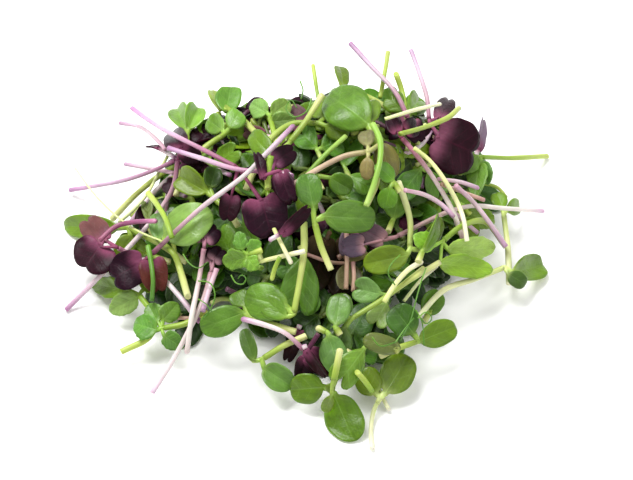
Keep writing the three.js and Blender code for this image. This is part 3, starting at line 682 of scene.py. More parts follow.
class Bend:
    """Moves points along their rays to the eye, fading out away from the beads that have to move."""

    def __init__(self, beads, shift):
        held = np.abs(shift) > 0
        self.points = beads[held, :3]
        self.shift = shift[held]

    def at(self, points):
        """The shift at each point."""
        if not len(self.points):
            return np.zeros(len(points))
        squares = (points**2).sum(1)[:, None] + (self.points**2).sum(1)[None] - 2 * points @ self.points.T
        part = np.minimum(np.sqrt(np.maximum(squares, 0)) / BEND_REACH, 1)
        faded = self.shift[None] * np.cos(math.pi / 2 * part) ** 2
        return faded.max(axis=1) if self.shift[0] > 0 else faded.min(axis=1)

    def move(self, points):
        return points + towards_eye(points) * self.at(points)[:, None]


def lay(laid, sprouts, over=True):
    """Bends a bundle of sprouts clear of the laid ones, adds it to them, and returns its bend."""
    beads = beads_of(sprouts)
    bend = Bend(beads, laid.shifts(beads, over))
    across, up, _ = seen_from_eye(beads[:, :3])
    laid.add(bend.move(beads[:, :3]), across, up, beads[:, 3])
    return bend


# ---- fine meshes ----

SIDES = 12
RING_STEP = 1.3
PETIOLE_STEP = 1.2
EDGE = 0.1
TURN = 6.28
SHAPE_SEED = 5

# Right half of each outline from base to tip, across as a share of the half width, along as one of the length.
HALVES = {
    "heart": [
        (0.17, 0), (0.4, 0.09), (0.64, 0.22), (0.86, 0.37), (0.98, 0.53), (1, 0.69), (0.93, 0.83),
        (0.79, 0.935), (0.58, 0.99), (0.36, 0.99), (0.18, 0.935), (0.06, 0.84), (0, 0.765),
    ],
    "kidney": [
        (0.1, 0.02), (0.26, -0.11), (0.52, -0.15), (0.8, -0.04), (0.97, 0.16), (1, 0.37), (0.94, 0.59),
        (0.79, 0.79), (0.58, 0.92), (0.36, 0.975), (0.18, 0.955), (0.06, 0.91), (0, 0.87),
    ],
    "oval": [
        (0.22, 0), (0.5, 0.06), (0.74, 0.16), (0.93, 0.31), (1, 0.49), (0.96, 0.67), (0.82, 0.82),
        (0.59, 0.93), (0.3, 0.985), (0, 1),
    ],
    "toothed": [
        (0.22, 0), (0.56, 0.05), (0.8, 0.14), (0.97, 0.28), (1, 0.43), (0.93, 0.59), (0.76, 0.75),
        (0.5, 0.88), (0.22, 0.97), (0, 1),
    ],
}
SHOULDER = {"kidney": 0.6, "heart": 0.56, "oval": 0.68, "toothed": 0.7}
TEETH = {"toothed": (6, 0.1)}


def outline_grid(outline, columns, rows):
    """Across and along of a grid that fills the outline, columns + 1 wide and rows + 1 long."""
    half = Curve([(x, y, 0) for x, y in HALVES[outline]])
    shoulder = SHOULDER[outline]
    spread = np.linspace(-1, 1, columns + 1)
    spread = np.sign(spread) * np.abs(spread) ** 1.25
    share = np.linspace(0, 1, rows + 1)
    right = half.at(shoulder * share)[:, :2]
    if outline in TEETH:
        count, depth = TEETH[outline]
        saw = (count * share) % 1
        right[:, 0] *= 1 + depth * (saw - 0.6) * smoothstep(0, 0.15, share)
    left = right * [-1, 1]
    tip = half.at(1 - (1 - shoulder) * np.abs(spread))[:, :2]
    tip[:, 0] *= np.sign(spread)
    tip[0], tip[-1] = left[-1], right[-1]
    base = np.stack([right[0, 0] * spread, 0 * spread], 1)
    u = ((spread + 1) / 2)[None, :, None]
    v = share[:, None, None]
    grid = (1 - v) * base[None] + v * tip[None] + (1 - u) * left[:, None] + u * right[:, None]
    return grid - ((1 - v) * ((1 - u) * base[0] + u * base[-1]) + v * ((1 - u) * tip[0] + u * tip[-1]))


def surface_normals(grid):
    """Unit normals of a grid of points, across x along."""
    crossed = np.cross(grid[1:, 1:] - grid[:-1, :-1], grid[1:, :-1] - grid[:-1, 1:])
    total = np.zeros_like(grid)
    for rows in (slice(None, -1), slice(1, None)):
        for columns in (slice(None, -1), slice(1, None)):
            total[rows, columns] += crossed
    return unit(total)


def blurred(values, passes, axis=0):
    """Values evened out along an axis, with its ends kept."""
    values = values.copy()
    for _ in range(passes):
        moved = np.moveaxis(values, axis, 0)
        moved[1:-1] = (moved[:-2] + 2 * moved[1:-1] + moved[2:]) / 4
    return values


class Build:
    """Collects the vertices, faces and colours of one piece."""

    def __init__(self):
        self.points, self.quads, self.tones, self.places, self.slots = [], [], [], [], []
        self.count = 0

    def loft(self, rings, tones, places, slot):
        """A closed solid through rings of points; opposite points of the end rings are joined."""
        length, sides = rings.shape[:2]
        ring, side = np.meshgrid(np.arange(length - 1), np.arange(sides), indexing="ij")
        after = (side + 1) % sides
        low, high = ring * sides, (ring + 1) * sides
        walls = np.stack([low + side, low + after, high + after, high + side], -1).reshape(-1, 4)
        step = np.arange(sides // 2 - 1)
        cap = np.stack([step, sides - 1 - step, sides - 2 - step, step + 1], -1)
        quads = np.vstack([walls, cap, (length - 1) * sides + cap[:, ::-1]])
        for values, kept in ((rings, self.points), (tones, self.tones), (places, self.places)):
            kept.append(values.reshape(-1, 3))
        self.quads.append(quads + self.count)
        self.slots.append(np.full(len(quads), slot))
        self.count += length * sides


def path_frames(points):
    """Two unit vectors across a path at each of its points, turning as little as they can."""
    along = unit(np.gradient(points, axis=0))
    first = np.cross(along[0], [0, 0, 1])
    if np.linalg.norm(first) < 0.1:
        first = np.cross(along[0], [0, 1, 0])
    normals = [unit(first)]
    for direction in along[1:]:
        normals.append(unit(normals[-1] - direction * (normals[-1] @ direction)))
    normals = np.array(normals)
    return normals, np.cross(along, normals)


def stem_tones(look, share):
    """Colours along a stem, from its foot to its crown."""
    stops = np.array([colour(code) for code in look["stem"]])
    places = np.linspace(0, 1, len(stops)) ** look.get("fade", 1)
    return np.stack([np.interp(share, places, stops[:, channel]) for channel in range(3)], -1)


def add_stem(build, one, bend, look, random, sides=SIDES):
    sort = one["kind"]
    curve = one["stem"]
    end = 1 - 0.35 / curve.length if sort["separate"] else 1
    count = max(math.ceil(curve.length / RING_STEP), 8)
    share = np.concatenate([[0, 0.12 / curve.length], np.linspace(0, 1, count + 1)[1:] * end])
    axis = curve.at(share)
    axis = axis + towards_eye(axis) * blurred(bend.at(axis), 6)[:, None]
    radius = look.get("slim", 1) * sort["stem_radius"]
    axis[:, 2] = np.maximum(axis[:, 2], 0.9 * radius)
    normals, binormals = path_frames(axis)
    radius = radius * (1 + 0.05 * np.sin(share * curve.length / 5 + 6 * next(random)))
    radius *= lerp(1.04, 0.92, share)
    radius[0] *= 0.9
    if sort["separate"]:
        radius *= 1 + 0.12 * smoothstep(0.93, 0.98, share)
    angle = 2 * math.pi * np.arange(sides) / sides
    oval = 1 + 0.07 * np.cos(2 * angle)
    rings = (
        axis[:, None]
        + normals[:, None] * (radius[:, None] * np.cos(angle) * oval)[..., None]
        + binormals[:, None] * (radius[:, None] * np.sin(angle) * oval)[..., None]
    )
    rings[:, :, 2] = np.maximum(rings[:, :, 2], 0)
    shade = lerp(0.94, 1.06, next(random))
    tones = np.repeat(stem_tones(look, share)[:, None] * shade, sides, 1)
    places = np.zeros((len(share), sides, 3))
    places[..., 0] = angle / (2 * math.pi)
    places[..., 1] = (share * curve.length)[:, None] / 10
    build.loft(rings, tones, places, 0)


def add_leaf(build, shape, bend, look, random, slot, columns):
    """A petiole that widens into a blade, with its edges thin and its middle rib raised underneath."""
    sort = shape["kind"]
    rows = round(columns * 1.2)
    half = shape["width"] / 2
    grid = outline_grid(sort["outline"], columns, rows)
    x, y = grid[..., 0] * half, grid[..., 1] * shape["length"]
    part = grid[..., 1]
    x = x * np.where(x < 0, lerp(0.93, 1.05, next(random)), lerp(0.93, 1.05, next(random)))
    uneven = np.sin(look.get("lobes", 7) * part + TURN * next(random) + np.sign(x)) * smoothstep(0, 0.3, part)
    x = x * (1 + look.get("ragged", 0.035) * uneven * np.abs(x / half) ** 2)
    coarse_rows, coarse_widths, _ = OUTLINES[sort["outline"]]
    row_half = np.maximum(np.interp(part, coarse_rows, coarse_widths), 0.35) * half
    phase = [TURN * next(random) for _ in range(3)]
    ripple = np.sin(2.3 * y / shape["width"] + phase[0] + 1.2 * np.sign(x))
    ripple = ripple * (x / half) ** 2 + 0.4 * np.sin(4.1 * y / shape["width"] + phase[1]) * np.abs(x / half) ** 3
    curl, twist, bow = (lerp(*ends, next(random)) for ends in ((-0.11, 0.15), (-0.3, 0.3), (-0.1, 0.14)))
    fold = look.get("fold", sort["fold"])
    rise = fold * x**2 / row_half - (sort["droop"] + bow) * shape["length"] * part**2
    rise += shape["width"] * (0.03 * ripple + curl * (x / half) ** 2 * lerp(0.4, 1, part))
    rise += twist * part * x
    if rows >= 14:
        pucker = np.sin(17 * (part - 0.34 * np.abs(x / half)) + phase[2]) * np.minimum(2.5 * np.abs(x / half), 1)
        rise += shape["width"] * look.get("pucker", 0.012) * pucker * smoothstep(0, 0.2, part)
    rise -= 0.2 * np.exp(-((x / 0.6) ** 2)) * smoothstep(0, 0.15, part)
    blade_grid = (
        shape["start"] + y[..., None] * shape["along"] + x[..., None] * shape["across"]
        + rise[..., None] * shape["normal"]
    )

    petiole = shape["petiole"]
    stretches = max(math.ceil(petiole.length / PETIOLE_STEP), 4)
    share = np.arange(stretches) / stretches
    axis = petiole.at(share)
    along = unit(np.gradient(np.vstack([axis, blade_grid[0, columns // 2]]), axis=0))[:-1]
    across = unit(shape["across"] - along * (along @ shape["across"])[:, None])
    angle = math.pi * (1 - (2 * np.arange(columns + 1) + 1) / (2 * columns + 2))
    widening = smoothstep(0.45, 1, share)[:, None]
    base_half = grid[0, -1, 0] * half
    base = base_half * grid[0, :, 0] / grid[0, -1, 0]
    sideways = lerp(sort["petiole_radius"] * np.cos(angle), base, widening)
    points = np.vstack([axis[:, None] + across[:, None] * sideways[..., None], blade_grid])
    shift = bend.at(points.reshape(-1, 3)).reshape(points.shape[:2])
    points = points + towards_eye(points) * blurred(blurred(shift, 3), 3, axis=1)[..., None]
    points[..., 2] = np.maximum(points[..., 2], sort["petiole_radius"])
    normals = surface_normals(points)

    thick = sort["thickness"] / 2
    edge = np.minimum(np.abs(grid[..., 0]) / np.maximum(np.abs(grid[:, -1:, 0]), 1e-6), 1)
    lens = np.sqrt(np.maximum((1 - edge**4) * (1 - part**8), 0))
    lens[-1] = 0
    height = EDGE + (thick - EDGE) * lens
    rib = np.exp(-((x / (0.9 * sort["petiole_radius"])) ** 2)) * (1 - part) ** 1.5
    under = height + (sort["petiole_radius"] - thick * 0.6) * rib
    over = height + 0.5 * (sort["petiole_radius"] - thick) * rib * (1 - part) ** 3
    round_height = sort["petiole_radius"] * np.sin(angle)[None] * np.ones((stretches, 1))
    over, under = (np.vstack([lerp(round_height, side[:1], widening * 0.8), side]) for side in (over, under))
    rings = np.concatenate([points + normals * over[..., None], (points - normals * under[..., None])[:, ::-1]], axis=1)
    rings[:, :, 2] = np.maximum(rings[:, :, 2], 0)

    warm = lerp(-0.14, 0.14, next(random))
    shade = lerp(0.84, 1.16, next(random)) * np.array([1 + warm, 1, 1 - warm])
    stem_end = stem_tones(look, np.array([1.0]))[0]
    greening = np.concatenate([smoothstep(0.5, 1.2, share), smoothstep(-0.25, 0.18, part[:, 0])])[:, None, None]
    sheet = np.ones((stretches + rows + 1, columns + 1, 1))
    tones = np.concatenate([
        lerp(stem_end, colour(look[side]) * shade, greening) * sheet for side in ("leaf", "under")
    ], axis=1)
    side_share = np.vstack([np.zeros((stretches, columns + 1)), grid[..., 0]])
    part_share = np.vstack([np.repeat(share[:, None] - 1, columns + 1, 1), part])
    places = np.stack([side_share, part_share, np.zeros(part_share.shape)], -1)
    places = np.concatenate([places, places[:, ::-1] + [0, 0, 1]], axis=1)
    build.loft(rings, tones, places, slot)


# ---- materials ----


class Signal:
    """An output of a node tree. Sums on it add math nodes."""

    def __init__(self, shading, socket):
        self.shading, self.socket = shading, socket

    def __add__(self, other):
        return self.shading.math("ADD", self, other)

    def __sub__(self, other):
        return self.shading.math("SUBTRACT", self, other)

    def __rsub__(self, other):
        return self.shading.math("SUBTRACT", other, self)

    def __mul__(self, other):
        return self.shading.math("MULTIPLY", self, other)

    def __abs__(self):
        return self.shading.math("ABSOLUTE", self)


class Shading:
    """A material's node tree, built one node at a time."""

    def __init__(self, name):
        self.material = bpy.data.materials.new(name)
        self.material.use_nodes = True
        self.tree = self.material.node_tree
        self.tree.nodes.clear()

    def node(self, kind, values, output=0, **settings):
        """One output of a new node; values are numbers or the signals that feed its inputs."""
        node = self.tree.nodes.new(kind)
        for key, value in settings.items():
            setattr(node, key, value)
        for key, value in values.items():
            if isinstance(value, Signal):
                self.tree.links.new(value.socket, node.inputs[key])
            else:
                node.inputs[key].default_value = value
        return Signal(self, node.outputs[output])

    def attribute(self, name, output):
        return self.node("ShaderNodeAttribute", {}, output, attribute_name=name)

    def where(self):
        return self.node("ShaderNodeTexCoord", {}, "Object")

    def stretched(self, vector, scale):
        return self.node("ShaderNodeMapping", {"Vector": vector, "Scale": scale})

    def math(self, operation, *values):
        return self.node("ShaderNodeMath", dict(enumerate(values)), operation=operation)

    def parts(self, vector):
        """The three parts of a vector."""
        node = self.node("ShaderNodeSeparateXYZ", {0: vector}).socket.node
        return [Signal(self, socket) for socket in node.outputs]

    def ramp(self, value, low, high):
        """Smoothly from 0 at low to 1 at high."""
        values = {"Value": value, "From Min": low, "From Max": high}
        return self.node("ShaderNodeMapRange", values, "Result", interpolation_type="SMOOTHSTEP")

    def noise(self, vector, scale, detail):
        return self.node("ShaderNodeTexNoise", {"Vector": vector, "Scale": scale, "Detail": detail}, "Fac")

    def mix(self, share, start, end):
        return self.node("ShaderNodeMix", {0: share, 6: start, 7: end}, 2, data_type="RGBA")

    def brightness(self, tone, factor):
        """The tone with its brightness multiplied."""
        return self.node("ShaderNodeHueSaturation", {"Color": tone, "Value": factor})

    def bump(self, height, strength):
        return self.node("ShaderNodeBump", {"Height": height, "Strength": strength, "Distance": 0.0003})

    def finish(self, values):
        """The material, with these values on its shader."""
        shader = self.node("ShaderNodeBsdfPrincipled", values)
        output = self.tree.nodes.new("ShaderNodeOutputMaterial")
        self.tree.links.new(shader.socket, output.inputs[0])
        return self.material


def stem_material(name, streak, subsurface, radius):
    s = Shading(f"{name} stem skin")
    fibres = s.noise(s.stretched(s.attribute("place", "Vector"), (14, 1.2, 1)), 1.0, 3)
    patches = s.noise(s.where(), 160.0, 3)
    factor = (patches - 0.5) * 0.35 + ((fibres - 0.5) * streak + 1.0)
    return s.finish({
        "Base Color": s.brightness(s.attribute("tone", "Color"), factor), "Roughness": patches * 0.25 + 0.27,
        "Normal": s.bump(fibres, 0.25), "Specular IOR Level": 0.35,
        "Subsurface Weight": subsurface, "Subsurface Radius": radius, "Subsurface Scale": SUBSURFACE_SCALE,
    })


def leaf_material(name, vein, gloss, painted_rim_highlight, subsurface, radius, veins, lines, specular=0.34):
    s = Shading(f"{name} leaf skin")
    place = s.attribute("place", "Vector")
    side, part, under = s.parts(place)
    where = s.where()
    away = abs(side)
    wander = (s.noise(where, 220.0, 2) - 0.5) * 0.16
    rib = (1.0 - s.ramp(away, 0.0, 0.07)) * (1.0 - s.ramp(part, 0.35, 1.0))
    line = abs(s.math("FRACT", (part + wander - away * 0.34) * veins) - 0.5)
    on_blade = s.ramp(part, -0.05, 0.08)
    line = s.ramp(line, 0.39, 0.5) * s.ramp(away, 1.0, 0.55) * on_blade * lines
    streaks = s.noise(s.stretched(place, (9, 1.6, 4)), 1.0, 3)
    pattern = s.math("MAXIMUM", rib * 0.4, line)
    patches = s.noise(where, 130.0, 3)
    cells = s.node("ShaderNodeTexVoronoi", {"Vector": where, "Scale": 1500.0}, "Distance")
    tone = s.attribute("tone", "Color")
    mottled = s.brightness(tone, (streaks - 0.5) * 0.7 + ((patches - 0.5) * 1.1 + 1.0))
    veined = s.mix(pattern, mottled, s.mix(0.6, vein, s.brightness(tone, 2.0)))
    # A painted highlight: the leaf edges are mixed towards a lighter tone, where thick edges catch the light.
    painted_rim_share = s.ramp(away, 0.9, 1.0) * 0.18 * on_blade
    height = pattern * -1.0 + cells * 0.35 + s.noise(where, 420.0, 2) * 1.2
    return s.finish({
        "Base Color": s.mix(painted_rim_share, veined, painted_rim_highlight), "Roughness": under * 0.18 + patches * 0.2 + gloss,
        "Normal": s.bump(height, 0.5), "Specular IOR Level": specular,
        "Subsurface Weight": subsurface, "Subsurface Radius": radius, "Subsurface Scale": SUBSURFACE_SCALE,
    })


def rgba(code):
    return (*colour(code), 1)


SUBSURFACE_SCALE = 0.0012
GREEN_SCATTER, DARK_SCATTER = (0.5, 1.0, 0.2), (1.0, 0.1, 0.25)
# The skins of each kind's stem and leaves. The third colour of a leaf skin is its painted highlight along the edges.
MATERIALS = {
    "radish": [
        stem_material("radish", 0.25, 0.45, (1.0, 0.55, 0.7)),
        leaf_material("radish", rgba(0x581A34), 0.28, rgba(0x48162E), 0.05, DARK_SCATTER, 4.0, 0.2, 0.1),
    ],
    "sunflower": [
        stem_material("sunflower", 0.15, 0.4, (0.8, 1.0, 0.45)),
        leaf_material("sunflower", rgba(0x8EAE66), 0.26, rgba(0x7CA044), 0.2, GREEN_SCATTER, 3.0, 0.12),
    ],
    "pea": [
        stem_material("pea", 0.2, 0.35, (0.7, 1.0, 0.3)),
        leaf_material("pea", rgba(0x90B464), 0.28, rgba(0x7CA844), 0.2, GREEN_SCATTER, 7.0, 0.28),
    ],
    "kale": [
        stem_material("kale", 0.15, 0.4, (0.8, 1.0, 0.45)),
        leaf_material("kale", rgba(0x94B870), 0.28, rgba(0x7CA854), 0.2, GREEN_SCATTER, 5.0, 0.25),
    ],
}

# ---- pieces ----


def add_object(name, data):
    thing = bpy.data.objects.new(name, data)
    bpy.context.scene.collection.objects.link(thing)
    return thing


def make_piece(name, build, materials, replaced=()):
    points = np.vstack(build.points) * MM
    quads = np.vstack(build.quads)
    mesh = bpy.data.meshes.new(name)
    mesh.vertices.add(len(points))
    mesh.vertices.foreach_set("co", points.ravel())
    mesh.loops.add(quads.size)
    mesh.loops.foreach_set("vertex_index", quads.ravel())
    mesh.polygons.add(len(quads))
    mesh.polygons.foreach_set("loop_start", np.arange(len(quads)) * 4)
    for material in materials:
        mesh.materials.append(material)
    mesh.polygons.foreach_set("material_index", np.concatenate(build.slots))
    mesh.polygons.foreach_set("use_smooth", np.ones(len(quads), bool))
    mesh.update(calc_edges=True)
    tone = mesh.attributes.new("tone", "FLOAT_COLOR", "POINT")
    tones = np.vstack(build.tones)
    tones = tones * np.where(tones[:, 1:2] > tones[:, :1], DIMMED_GREEN, DIMMED_PINK)
    tones = np.hstack([tones, np.ones((len(points), 1))])
    tone.data.foreach_set("color", np.clip(tones, 0, 1).ravel())
    place = mesh.attributes.new("place", "FLOAT_VECTOR", "POINT")
    place.data.foreach_set("vector", np.vstack(build.places).ravel())
    piece = add_object(name, mesh)
    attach(piece, "root")
    if replaced:
        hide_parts(*replaced)


def dress(name, sprouts, bend, random):
    """The fine piece or pieces of one named sprout, or of a bundle."""
    sort = sprouts[0]["kind"]
    separate = sort["separate"]
    look = dict(KIND_LOOKS[sort["name"]], **OWN_LOOKS.get(name, {}))
    stem_build = Build()
    leaf_build = Build() if separate else stem_build
    for one in sprouts:
        add_stem(stem_build, one, bend, look, random)
        for index, shape in enumerate(one["blades"]):
            own = dict(look, **look.get("each", {}).get(index, {}))
            add_leaf(leaf_build, shape, bend, own, random, 0 if separate else 1, 16 if shape["width"] > 12 else 12)
    stem_skin, leaf_skin = MATERIALS[sort["name"]]
    if separate:
        make_piece(f"fine_{name}_stem", stem_build, [stem_skin], [f"{name}_stem"])
        make_piece(f"fine_{name}_leaves", leaf_build, [leaf_skin], [f"{name}_leaves"])
    else:
        make_piece(f"fine_{name}", stem_build, [stem_skin, leaf_skin], [name])


laid = Laid()
random = seeded(SHAPE_SEED)
underside = seeded(UNDERSIDE["seed"])
for bundle in UNDERSIDE_BUNDLES:
    plans = [underside_sprout(bundle, index, underside) for index in range(UNDERSIDE["count"])]
    sprouts = [shaped(bundle["kind"], *plan) for plan in plans]
    dress(bundle["name"], sprouts, lay(laid, sprouts), random)
below = len(laid.far)
for index, plan in enumerate(SEEN_SPROUTS):
    share = lerp(FIRST_SHARE, LAST_SHARE, index / (len(SEEN_SPROUTS) - 1))
    sprouts = [shaped(plan["kind"], *placed(plan, share))]
    dress(plan["name"], sprouts, lay(laid, sprouts), random)
# The seen sprouts without the underside: what the smaller ones are tucked beneath.
shell = laid.since(below)

# ---- sprouts that only the looks have ----

# How high they lie, as a share of the mound's height.
OVER_SHARE, UNDER_SHARE = 0.96, 0.82
TENDRIL = {"radius": 0.28, "lift": 4, "sides": 6}

# The rounded body that fills the heap: its crest, and how far it reaches sideways, forwards and back.
DOME = {"height": 61, "middle": (4, 34), "side": 104, "front": 112, "back": 54, "power": 1.2}
FILLERS = {"seed": 23, "inner": 180, "outer": 120, "cell": 2.0, "furthest_back": 94, "columns": 8, "sides": 8}
# Each kind's stem lengths, leaf lengths and leaf widths.
FILLER_KINDS = [
    (SUNFLOWER, (16, 38), (15, 21), (11, 14)), (PEA, (16, 32), (13, 18), (10, 13)),
    (RADISH, (18, 40), (9, 13), (12, 16)), (KALE, (14, 30), (12, 16), (12, 15)),
]


def inside_body(points):
    """For each point, whether it is seen inside the dense part of the heap."""
    across, up, _ = seen_from_eye(points)
    right, down = SHEET_MIDDLE[0] + across / GRID, SHEET_MIDDLE[1] - up / GRID
    inside = np.zeros(len(points), bool)
    for (x0, y0), (x1, y1) in zip(BODY, BODY[1:] + BODY[:1]):
        crosses = (y0 > down) != (y1 > down)
        slope = (x1 - x0) / (y1 - y0) if y1 != y0 else 0
        inside ^= crosses & (right < x0 + slope * (down - y0))
    return inside


def dome(x, y):
    """Height of the whole heap's rounded top over a place on the table, and its outward normal."""
    middle_x, middle_y = DOME["middle"]
    reach_y = DOME["back"] if y > middle_y else DOME["front"]
    u, v = (x - middle_x) / DOME["side"], (y - middle_y) / reach_y
    height = DOME["height"] * max(1 - u * u - v * v, 0) ** DOME["power"]
    lean = DOME["height"] * DOME["power"]
    return height, unit(np.array([lean * u / DOME["side"], lean * v / reach_y, 1]))


class Room:
    """Which cells of space are taken by beads, and how near the eye the seen sprouts are."""

    def __init__(self, cell):
        self.cell = cell
        self.taken = np.zeros((130, 120, 50), bool)
        self.nearest = np.full((140, 120), np.inf)

    def cells(self, points):
        places = np.floor(points / self.cell).astype(int) + [65, 60, 2]
        return tuple(np.clip(places, 0, np.array(self.taken.shape) - 1).T)

    def seen_cells(self, across, up):
        places = np.stack([across / self.cell + 70, up / self.cell + 60], -1).astype(int)
        return tuple(np.clip(places, 0, np.array(self.nearest.shape) - 1).T)

    def add(self, points):
        self.taken[self.cells(points)] = True

    def add_seen(self, points):
        self.add(points)
        across, up, far = seen_from_eye(points)
        np.minimum.at(self.nearest, self.seen_cells(across, up), far)

    def clashes(self, points):
        across, up, far = seen_from_eye(points)
        nearest = self.nearest[self.seen_cells(across, up)]
        before = (far < nearest + 1) & np.isfinite(nearest)
        below = points[:, 2] < 0.5
        return self.taken[self.cells(points)].sum() + 2 * before.sum() + 3 * below.sum()


def filler(sort, stem_lengths, leaf_lengths, leaf_widths, outer, random):
    """A seedling lying at random inside the heap, or on its back, or None where it would stick out of it."""

    def between(low, high):
        return lerp(low, high, next(random))

    level = between(0.8, 1) if outer else between(0.2, 0.9)
    angle, reach = 2 * math.pi * next(random), math.sqrt(next(random)) * 0.88
    if outer and math.sin(angle) < -0.25:
        return None
    x = DOME["middle"][0] + DOME["side"] * reach * math.cos(angle)
    y = DOME["middle"][1] + DOME["back" if math.sin(angle) > 0 else "front"] * reach * math.sin(angle)
    turn, length, bow = 2 * math.pi * next(random), between(*stem_lengths), between(-7, 7)
    if not outer:
        length, bow = 0.5 * length, 0.4 * bow
    along = np.array([math.cos(turn), math.sin(turn), 0])
    sideways = np.array([-along[1], along[0], 0])
    tilt = between(-6, 6)
    stem = []
    for share in (-0.5, -0.18, 0.16, 0.5):
        point = np.array([x, y, 0]) + along * length * share + sideways * bow * (1 - 4 * share**2)
        height, normal = dome(point[0], point[1])
        point[2] = max(level * height + tilt * share * 2, 1.6)
        stem.append(point)
    crown, heading = stem[-1], unit(stem[-1] - stem[-2])
    leaves = []
    for index in range(2 if outer and not (sort is PEA and next(random) > 0.5) else 4):
        spread = between(0.5, 1.15) * (1 if index % 2 else -1)
        lean = sideways * math.sin(spread) + heading * math.cos(spread) + normal * between(-0.25, 0.35)
        direction = unit(lean)
        start = crown - heading * (4 * (index // 2)) + direction * between(3, 5)
        tip = start + direction * between(*leaf_lengths)
        item = leaf(start, tip, between(*leaf_widths), between(-25, 25))
        item["facing"] = unit(normal + 0.7 * (np.array([next(random), next(random), next(random)]) - 0.5))
        leaves.append(item)
    ends = np.array([stem[0], crown] + [item["to"] for item in leaves])
    if not inside_body(ends).all() or ends[:, 2].min() < 0.6 or ends[:, 1].max() > 92:
        return None
    return np.array(stem), leaves


def moved_sprout(one, shift):
    """The sprout moved as a whole along its ray away from the eye."""
    stem, leaves = one
    away = -towards_eye(stem.mean(axis=0)) * shift
    return stem + away, [dict(item, **{"from": item["from"] + away, "to": item["to"] + away}) for item in leaves]


def lowest(one):
    """Height of the lowest place of a sprout."""
    stem, leaves = one
    return min(stem[:, 2].min(), *(item["to"][2] for item in leaves))


def new_builds():
    """An empty build for each kind's stems and for its leaves."""
    return {(name, part): Build() for name in MATERIALS for part in ("stem", "leaf")}


def add_sprout(builds, sort, one, bend, look, random, columns=12, sides=SIDES):
    add_stem(builds[sort["name"], "stem"], one, bend, look, random, sides)
    for shape in one["blades"]:
        add_leaf(builds[sort["name"], "leaf"], shape, bend, look, random, 0, columns)


def make_loose(group, builds):
    for (name, part), build in builds.items():
        if build.points:
            make_piece(f"{group}_{name}_{part}", build, [MATERIALS[name][part == "leaf"]])


def make_extras(random):
    builds = new_builds()
    for over, share in ((True, OVER_SHARE), (False, UNDER_SHARE)):
        for plan in EXTRAS:
            if plan["over"] == over:
                one = shaped(plan["kind"], *placed(plan, share))
                look = dict(KIND_LOOKS[plan["name"]], **plan["look"])
                add_sprout(builds, plan["kind"], one, lay(shell, [one], over), look, random)
    thread = dict(PEA, stem_radius=TENDRIL["radius"])
    look = dict(KIND_LOOKS["pea"], **SHARED_LOOKS["grass"])
    for places in TENDRILS:
        heights = [OVER_SHARE * mound_height(*place) + TENDRIL["lift"] for place in places]
        points = np.array([place_at_height(*place, height) for place, height in zip(places, heights)])
        one = {"kind": thread, "stem": Curve(points), "blades": []}
        add_stem(builds["pea", "stem"], one, lay(shell, [one]), look, random, TENDRIL["sides"])
    make_loose("loose", builds)


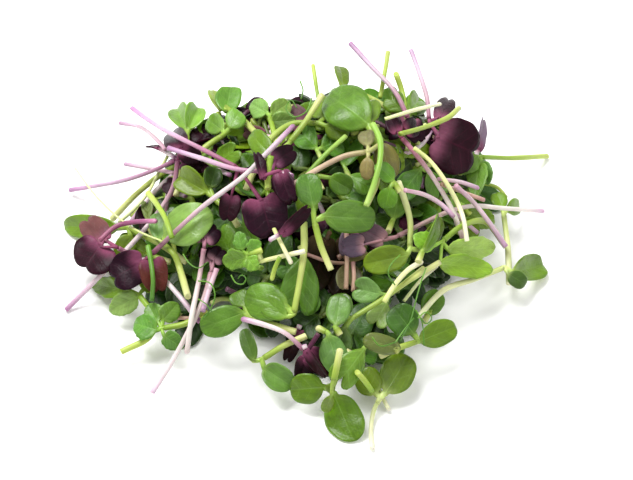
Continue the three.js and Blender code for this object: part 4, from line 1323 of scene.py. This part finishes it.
def make_fillers():
    random = seeded(FILLERS["seed"])
    for _ in range(5):
        next(random)
    room = Room(FILLERS["cell"])
    room.add(laid.points)
    room.add_seen(shell.points)
    builds = new_builds()
    left = {True: FILLERS["outer"], False: FILLERS["inner"]}
    for outer in (True, False):
        while left[outer]:
            choice = FILLER_KINDS[int(next(random) * len(FILLER_KINDS))]
            sort = choice[0]
            found = filler(*choice, outer, random)
            if found is None:
                continue
            tries = [moved_sprout(found, shift) for shift in ((0, 2, 4) if outer else (0, 3, 6, 9, 13, 17, 22))]
            tries = [one for one in tries if lowest(one) > 0.4] or tries[:1]
            scores = [room.clashes(beads_of([shaped(sort, *one)])[:, :3]) for one in tries]
            one = shaped(sort, *tries[int(np.argmin(scores))])
            beads = beads_of([one])
            bend = Bend(beads, shell.shifts(beads, over=False))
            moved = bend.move(beads[:, :3])
            if moved[:, 1].max() > FILLERS["furthest_back"]:
                continue
            left[outer] -= 1
            room.add(moved)
            # A random share of the fillers take the painted shade colours.
            in_painted_shade = next(random) < (0.3 if outer else 0.42)
            # The other inner ones but radish take this milder painted shade.
            inner_painted_shade = {} if outer or sort is RADISH else INNER_PAINTED_SHADE_LOOK
            look = dict(KIND_LOOKS[sort["name"]], **(PAINTED_SHADE_LOOKS[sort["name"]] if in_painted_shade else inner_painted_shade))
            add_sprout(builds, sort, one, bend, look, random, FILLERS["columns"], FILLERS["sides"])
    make_loose("inner", builds)


make_extras(random)
make_fillers()

# ---- floor, light and camera, in metres ----

FLOOR = {"half": 6.0, "gap": 0.0002, "white": 0xFEFEFE, "roughness": 0.9}
SKY_COLOUR, SKY_STRENGTH = (1, 1, 0.99, 1), 0.72
PICTURE_WIDTH, SENSOR_WIDTH = 633, 36


def make_floor():
    half = FLOOR["half"]
    mesh = bpy.data.meshes.new("floor")
    corners = [(-half, -half, 0), (half, -half, 0), (half, half, 0), (-half, half, 0)]
    mesh.from_pydata(corners, [], [(0, 1, 2, 3)])
    skin = {"Base Color": rgba(FLOOR["white"]), "Roughness": FLOOR["roughness"]}
    mesh.materials.append(Shading("floor white").finish(skin))
    floor = add_object("floor", mesh)
    floor.location.z = -FLOOR["gap"]


def look_along(thing, direction):
    thing.rotation_euler = Vector(direction).to_track_quat("-Z", "Y").to_euler()


def make_light(name, place, size, power):
    data = bpy.data.lights.new(name, "AREA")
    data.shape = "DISK"
    data.size = size
    data.energy = power
    light = add_object(name, data)
    light.location = place
    look_along(light, -Vector(place))


def make_camera():
    data = bpy.data.cameras.new("camera")
    data.sensor_width = SENSOR_WIDTH
    data.lens = SENSOR_WIDTH * EYE_DISTANCE / (PICTURE_WIDTH * GRID)
    data.clip_start = 0.05
    camera = add_object("camera", data)
    camera.location = EYE * MM
    look_along(camera, -EYE_DIRECTION)
    bpy.context.scene.camera = camera


def make_world():
    world = bpy.data.worlds.new("studio")
    world.use_nodes = True
    background = world.node_tree.nodes["Background"]
    background.inputs["Color"].default_value = SKY_COLOUR
    background.inputs["Strength"].default_value = SKY_STRENGTH
    bpy.context.scene.world = world


make_floor()
make_world()
make_light("key", (-0.4, 0.35, 1.1), 0.75, 21)
make_light("fill", (0.6, -0.5, 0.9), 0.9, 3)
make_camera()
bpy.context.scene.view_settings.view_transform = "Standard"
